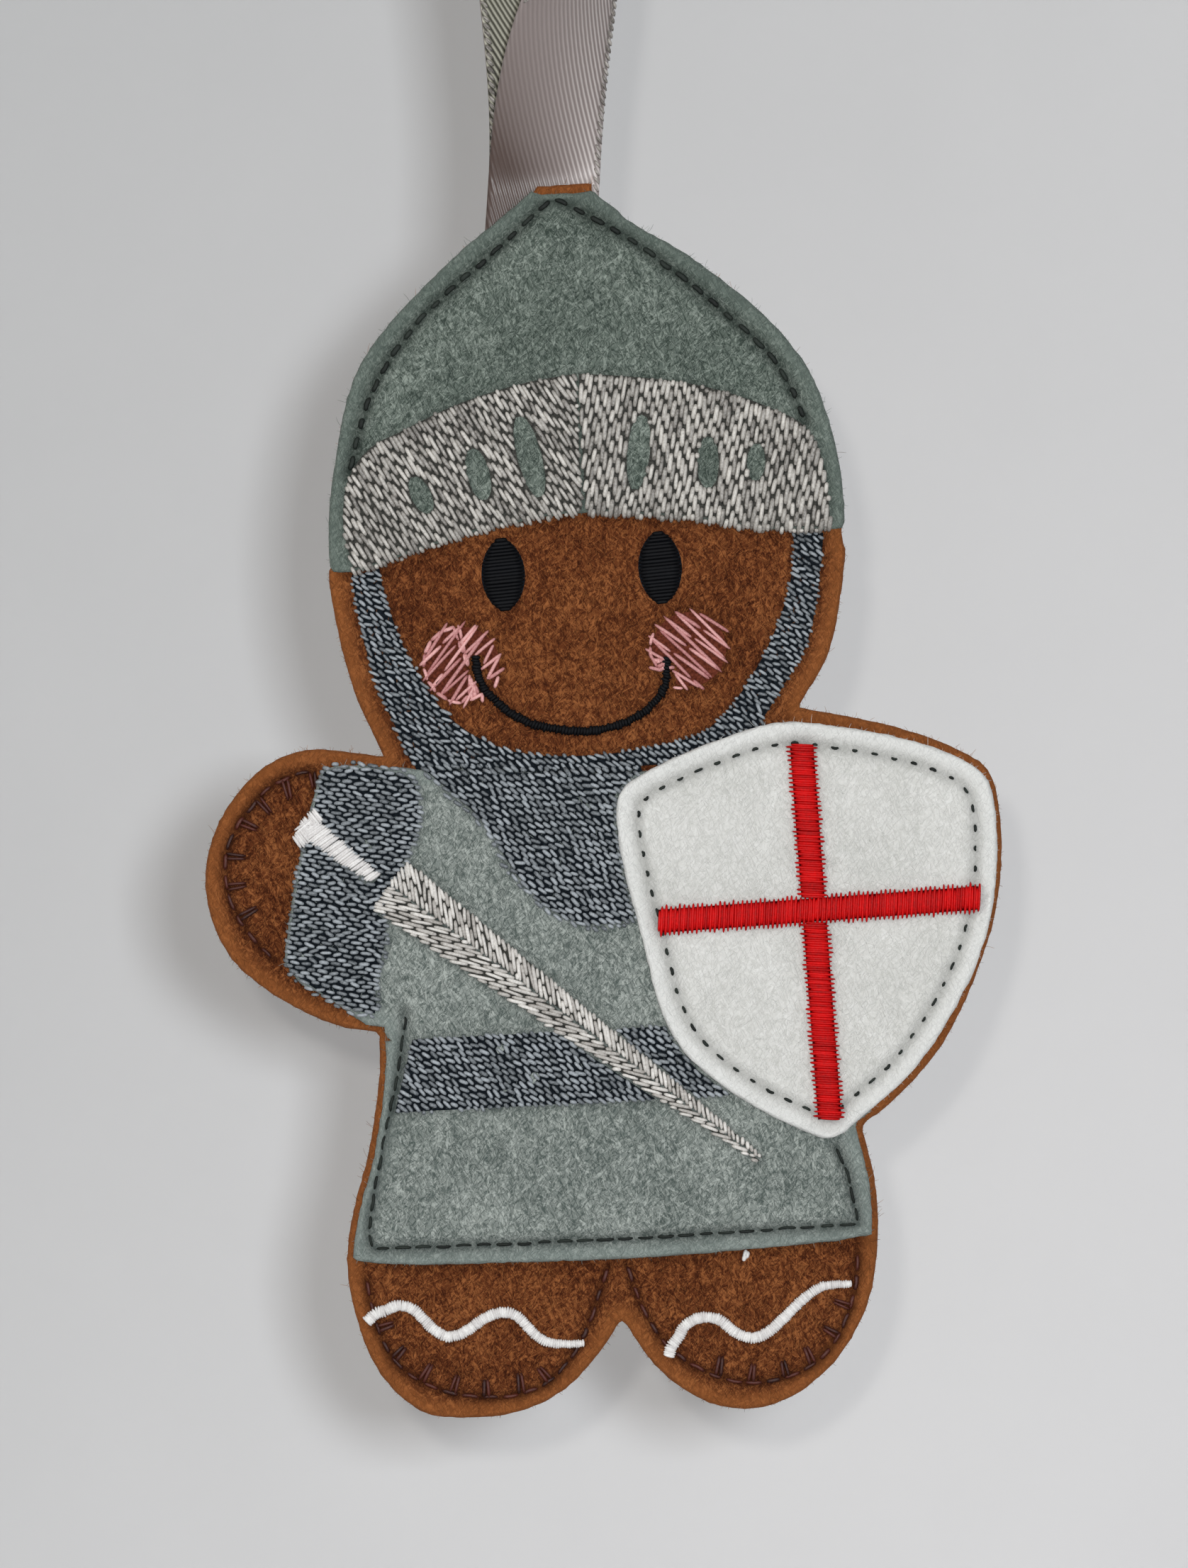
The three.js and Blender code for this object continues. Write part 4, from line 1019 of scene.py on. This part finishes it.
def ribbon_centre(spread, z):
    """The middle of a strand that is so far out from the loop's own middle"""
    angle = twist(z)
    lean = -SEAM_OFFSET * (1 - min(1, z / ARC_LEVEL)) ** LEAN_POWER
    return Vector((lean + spread * math.sin(angle), -spread * math.cos(angle), z))


def ribbon_frames(step):
    """At each step along the cloth, from its front tail up round the loop and down to its back tail: its
    centre, its way across, its way outwards and the length so far"""
    t = np.linspace(0, 1, 91)[:, None]
    weights = np.hstack([(1 - t) ** 3, 3 * t * (1 - t) ** 2, 3 * t * t * (1 - t), t ** 3])
    strand = (weights @ np.array(HANDLES)).tolist()
    arc = [(LOOP_RADIUS * math.cos(angle), ARC_LEVEL + LOOP_RADIUS * math.sin(angle))
           for angle in np.linspace(0, math.pi, 25)[1:-1].tolist()]
    slope = LEAN_POWER * SEAM_OFFSET / ARC_LEVEL
    tail = [Vector((-SEAM_OFFSET + slope * z, -TAIL_OFFSET, z))
            for z in np.linspace(-TAIL_DEPTH, TAIL_TOP, 12)]
    path = [*tail, *(ribbon_centre(*p) for p in (*strand, *arc, *((-x, z) for x, z in reversed(strand)))),
            *(Vector((p.x, -p.y, p.z)) for p in reversed(tail))]
    points = [Vector(p) for p in resampled(path, step)]
    result = []
    for i, centre in enumerate(points):
        onward = (points[min(i + 1, len(points) - 1)] - points[max(i - 1, 0)]).normalized()
        angle = twist(centre.z)
        across = Vector((math.cos(angle), math.sin(angle), 0))
        across = (across - onward * across.dot(onward)).normalized()
        run = length_of(path) * i / (len(points) - 1)
        result.append((centre - Vector((0, 0, LOOP_RISE)), across, across.cross(onward), run))
    return result


# Its cloth is a flat tube, gathered over the seam. Near the seam its colour has painted shade on most of
# # its width and a painted highlight at one edge
COLUMNS = 25
CUP = 0.16 * MM
GATHER_START = 1.5 * MM
GATHER_HEIGHT = 9 * MM
GATHER_CUP = 0.7 * MM
SHADE_HEIGHT = 9 * MM
WAVES = 0.05 * MM
frames = ribbon_frames(0.8)
ribbon_length = frames[-1][3]
vertices, flat, shade_and_highlight = [], [], []
for centre, across, outward, run in frames:
    height = centre.z + LOOP_RISE
    above = max(0, height - GATHER_START) / GATHER_HEIGHT
    gather = GATHER_CUP * above * math.exp(1 - above)
    shade = math.exp(-max(0, height) / SHADE_HEIGHT)
    for face in (1, -1):
        for share in np.linspace(-1, 1, COLUMNS).tolist():
            cup = (CUP + (gather if run < ribbon_length / 2 else -gather)) * (share * share - 0.4)
            thick = RIBBON_THICKNESS / 2 * (1 - 0.5 * abs(share) ** 8)
            wave = WAVES * noise.noise((share * 1.5, run / MM * 0.08, 3.0))
            off = face * thick - cup + wave
            vertices.append(centre + across * share * RIBBON_WIDTH / 2 + outward * off)
            flat.append((share * RIBBON_WIDTH / 2 / MM, run / MM))
            # Painted shade towards one edge and a painted highlight at the other, fading out above the seam
            shade_and_highlight.append((0.26 - 0.5 * share) * shade)
ring = [*range(COLUMNS), *reversed(range(COLUMNS, 2 * COLUMNS))]
last = len(vertices) - 2 * COLUMNS
faces = walls(ring, len(frames) - 1)
sides = [int(min(pair) >= COLUMNS) for pair in pairs(ring)] * (len(frames) - 1)
for a, b in ((0, COLUMNS), (last + COLUMNS, last)):
    faces += [(b + k, b + k + 1, a + k + 1, a + k) for k in range(COLUMNS - 1)]
    sides += [0] * (COLUMNS - 1)

WAVE_SPAN = math.pi / 10


def ribbon_material(name, tones, slant, pitch, roughness, specular, depth, ribbed, shaded_edge_ribs=1.0):
    """Ribbon cloth: fine ridges at a slant to its length, faded towards one edge as painted shade, and with
    painted shade and highlight where it is marked
    """
    material, node, link = shader(name, roughness, specular, **{"Sheen Weight": 0.1, "Anisotropic": 0.4})
    flat = node("ShaderNodeUVMap", uv_map="cloth").outputs["UV"]
    turned = node("ShaderNodeMapping", {"Rotation": (0, 0, slant)}, {"Vector": flat}).outputs["Vector"]
    values = {"Scale": WAVE_SPAN / pitch, "Distortion": 0.5, "Detail": 2.0, "Detail Scale": 1.5}
    ridges = node("ShaderNodeTexWave", values, {"Vector": turned}).outputs["Fac"]
    across = node("ShaderNodeSeparateXYZ", links={0: flat}).outputs["X"]
    # Painted shade: the ridges show less towards the edge that is in shade
    rib_light = mapped(node, across, -3.0, 4.0, shaded_edge_ribs, 1.2)
    ribs = math_of(node, "MULTIPLY", math_of(node, "SUBTRACT", ridges, 0.5), rib_light)
    toning = math_of(node, "MULTIPLY_ADD", ribs, ribbed, 0.55)
    shaded = math_of(node, "SUBTRACT", toning, mark_of(node, "shade"))
    link(ramp(node, shaded, *zip((0.1, 0.55, 0.9), tones)), "Base Color")
    relief(node, link, ridges, 0.7, depth)
    return material


materials = [
    ribbon_material("ribbon satin", ((82, 66, 60), (150, 139, 136), (214, 205, 201)), slant=-0.34,
                    pitch=0.46, roughness=0.36, specular=0.45, depth=0.06, ribbed=0.34, shaded_edge_ribs=0.3),
    ribbon_material("ribbon reverse", ((54, 52, 43), (160, 157, 141), (212, 209, 195)), slant=0.42,
                    pitch=0.5, roughness=0.6, specular=0.3, depth=0.1, ribbed=0.65),
]
ribbon = facing_out(piece("ribbon_loop_cloth", vertices, faces, materials, {"shade": shade_and_highlight}, sides))
layer = ribbon.data.uv_layers.new(name="cloth")
for loop in ribbon.data.loops:
    layer.data[loop.index].uv = flat[loop.vertex_index]
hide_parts("hanging_ribbon", "ribbon_tail_front", "ribbon_tail_back")

# Selvedge: slanted turns of yarn along both edges of the ribbon, on both of its sides. One edge starts
# without any, and its turns grow on the way up. A turn is points of (inwards, along, lift)
SELVEDGE_TURN = (
    (0.62, -0.32, 0.06), (0.5, -0.2, 0.15), (0.33, 0.0, 0.18), (0.16, 0.2, 0.14), (0.06, 0.34, 0.04))
BARE_LENGTH = 34 * MM
selvedge_yarn = thread_material("selvedge yarn", (84, 78, 73), (196, 190, 183), 0.5)
selvedge = Strands(sides=5)
for centre, across, outward, run in frames[:-2]:
    if centre.z < -LOOP_RISE:
        continue
    onward = across.cross(outward)
    for edge in (-1, 1):
        if edge < 0 and run < BARE_LENGTH:
            continue
        # Painted shade: on the edge that starts bare, the turns are also darker lower down
        size = 1 if edge > 0 else min(1, 0.4 + 0.6 * run / (ribbon_length / 2))
        rim = centre + across * edge * RIBBON_WIDTH / 2
        for face in (-1, 1):
            path = [rim + (outward * lift * face + onward * along - across * edge * inward) * MM
                    for inward, along, lift in SELVEDGE_TURN]
            selvedge.add(path, 0.15 * size, 0.1, rng.random() * size, side=onward, dip=0.7)
selvedge = selvedge.build("ribbon_selvedge", selvedge_yarn)

joint = next(j for j in frame["joints"] if j["name"] == "figure_swing")
hinge = Vector(joint["pos_m"])
for cloth in (ribbon, selvedge):
    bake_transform(cloth)

# The width, height and area of each felt sheet, which nothing uses
for node, cloth in panels.items():
    loop = PANELS[node][1]
    width, height = (np.max(loop, axis=0) - np.min(loop, axis=0)).tolist()
    abs(area_of(loop))

# Stage: a pale wall behind the ornament that curves down into a floor. Painted shade makes it a little
# # darker to the upper left. It isn't seen from behind, and fades out to its sides and towards the front
WALL_Y = 0.14
FLOOR_Z = -0.30
SWEEP_RADIUS = 0.10
SWEEP_REACH = 2.2
bend = [(WALL_Y + SWEEP_RADIUS * (math.sin(angle) - 1), FLOOR_Z + SWEEP_RADIUS * (1 - math.cos(angle)))
        for angle in np.linspace(0, math.pi / 2, 17).tolist()]
profile = [(-SWEEP_REACH, FLOOR_Z), *bend, (WALL_Y, SWEEP_REACH)]
corners = [(x, y, z) for y, z in profile for x in (-SWEEP_REACH, SWEEP_REACH)]
quads = [(2 * i, 2 * i + 1, 2 * i + 3, 2 * i + 2) for i in range(len(profile) - 1)]
material, node, link = shader("backdrop", 0.9, 0.1)
place = place_of(node)
apart = node("ShaderNodeSeparateXYZ", links={0: place}).outputs
# Painted shade: the wall's colour darkens to the left and upwards
side = math_of(node, "MULTIPLY_ADD", apart["X"], 3.6, 0.47)
height = math_of(node, "MULTIPLY_ADD", apart["Z"], -3.0, -0.40)
soft = noise_of(node, place, 60.0, 3.0)
painted_falloff = math_of(node, "MULTIPLY_ADD", soft, 0.12, math_of(node, "ADD", side, height))
link(ramp(node, painted_falloff, (0.0, (197, 197, 197)), (1.0, (227, 226, 226))), "Base Color")
behind = node("ShaderNodeNewGeometry").outputs["Backfacing"]
before = mapped(node, apart["Y"], -0.5, -1.3)
aside = mapped(node, math_of(node, "ABSOLUTE", apart["X"]), 0.35, 0.8)
nodes = material.node_tree.nodes
mixed = node("ShaderNodeMixShader", links={
    0: greatest(node, behind, before, aside), 1: nodes["Principled BSDF"].outputs["BSDF"],
    2: node("ShaderNodeBsdfTransparent").outputs["BSDF"]})
material.node_tree.links.new(mixed.outputs[0], nodes["Material Output"].inputs["Surface"])
piece("backdrop", corners, quads, [material])

# Square lamps turned to the middle of the figure: where they are, their size, power and colour
MIDDLE = Vector((0, 0, -0.13))
for name, place, size, power, colour in (
        ("window", (-0.9, -1.0, 0.75), 0.75, 7.0, (1.0, 0.975, 0.93)),
        ("room", (0.95, -1.1, 0.25), 0.8, 2.75, (0.97, 0.98, 1.0)),
        ("front_cool", (0.075, -1.5, -0.10), 0.07, 9.15, (0.91, 0.955, 1.0)),
        ("front_warm", (-0.03, -1.5, -0.08), 0.02, 2.8, (1.0, 0.97, 0.92)),
        ("back_fill", (0.4, 1.6, 0.4), 0.6, 8.0, (1.0, 1.0, 1.0))):
    data = bpy.data.lights.new(name, "AREA")
    data.size = size
    data.energy = power
    data.color = colour
    light = placed(name, data)
    light.location = place
    light.rotation_euler = (MIDDLE - Vector(place)).to_track_quat("-Z", "Y").to_euler()

# Dim light all round, and a pale ground wherever the camera sees past the floor
world = bpy.data.worlds.new("world")
world.use_nodes = True
nodes = world.node_tree.nodes
node = node_maker(world.node_tree)
dim = nodes["Background"]
dim.inputs["Color"].default_value = (0.86, 0.88, 0.92, 1)
dim.inputs["Strength"].default_value = 0.15
pale = node("ShaderNodeBackground", {"Color": rgb((198, 199, 199))})
rays = node("ShaderNodeLightPath").outputs
seen = greatest(node, *(rays[kind] for kind in ("Is Camera Ray", "Is Glossy Ray", "Is Transmission Ray")))
mixed = node("ShaderNodeMixShader", links={0: seen, 1: dim.outputs[0], 2: pale.outputs[0]})
world.node_tree.links.new(mixed.outputs[0], nodes["World Output"].inputs["Surface"])
bpy.context.scene.world = world

# Camera: level with the ornament, which hangs three degrees out of true in the picture
TILT = math.radians(3)
FRAME_HEIGHT = 154.7 * MM
CAMERA_DISTANCE = 1.4
AIM = Vector((-0.46 * MM, -1.5 * MM, -128.64 * MM))
SENSOR = 36
data = bpy.data.cameras.new("camera")
data.sensor_width = SENSOR
data.lens = SENSOR * CAMERA_DISTANCE / FRAME_HEIGHT
camera = placed("camera", data)
stand = Matrix.Translation(AIM - Vector((0, CAMERA_DISTANCE, 0)))
camera.matrix_world = stand @ Matrix.Rotation(TILT, 4, "Y") @ Matrix.Rotation(math.pi / 2, 4, "X")
bpy.context.scene.camera = camera
bpy.context.scene.view_settings.view_transform = "Standard"
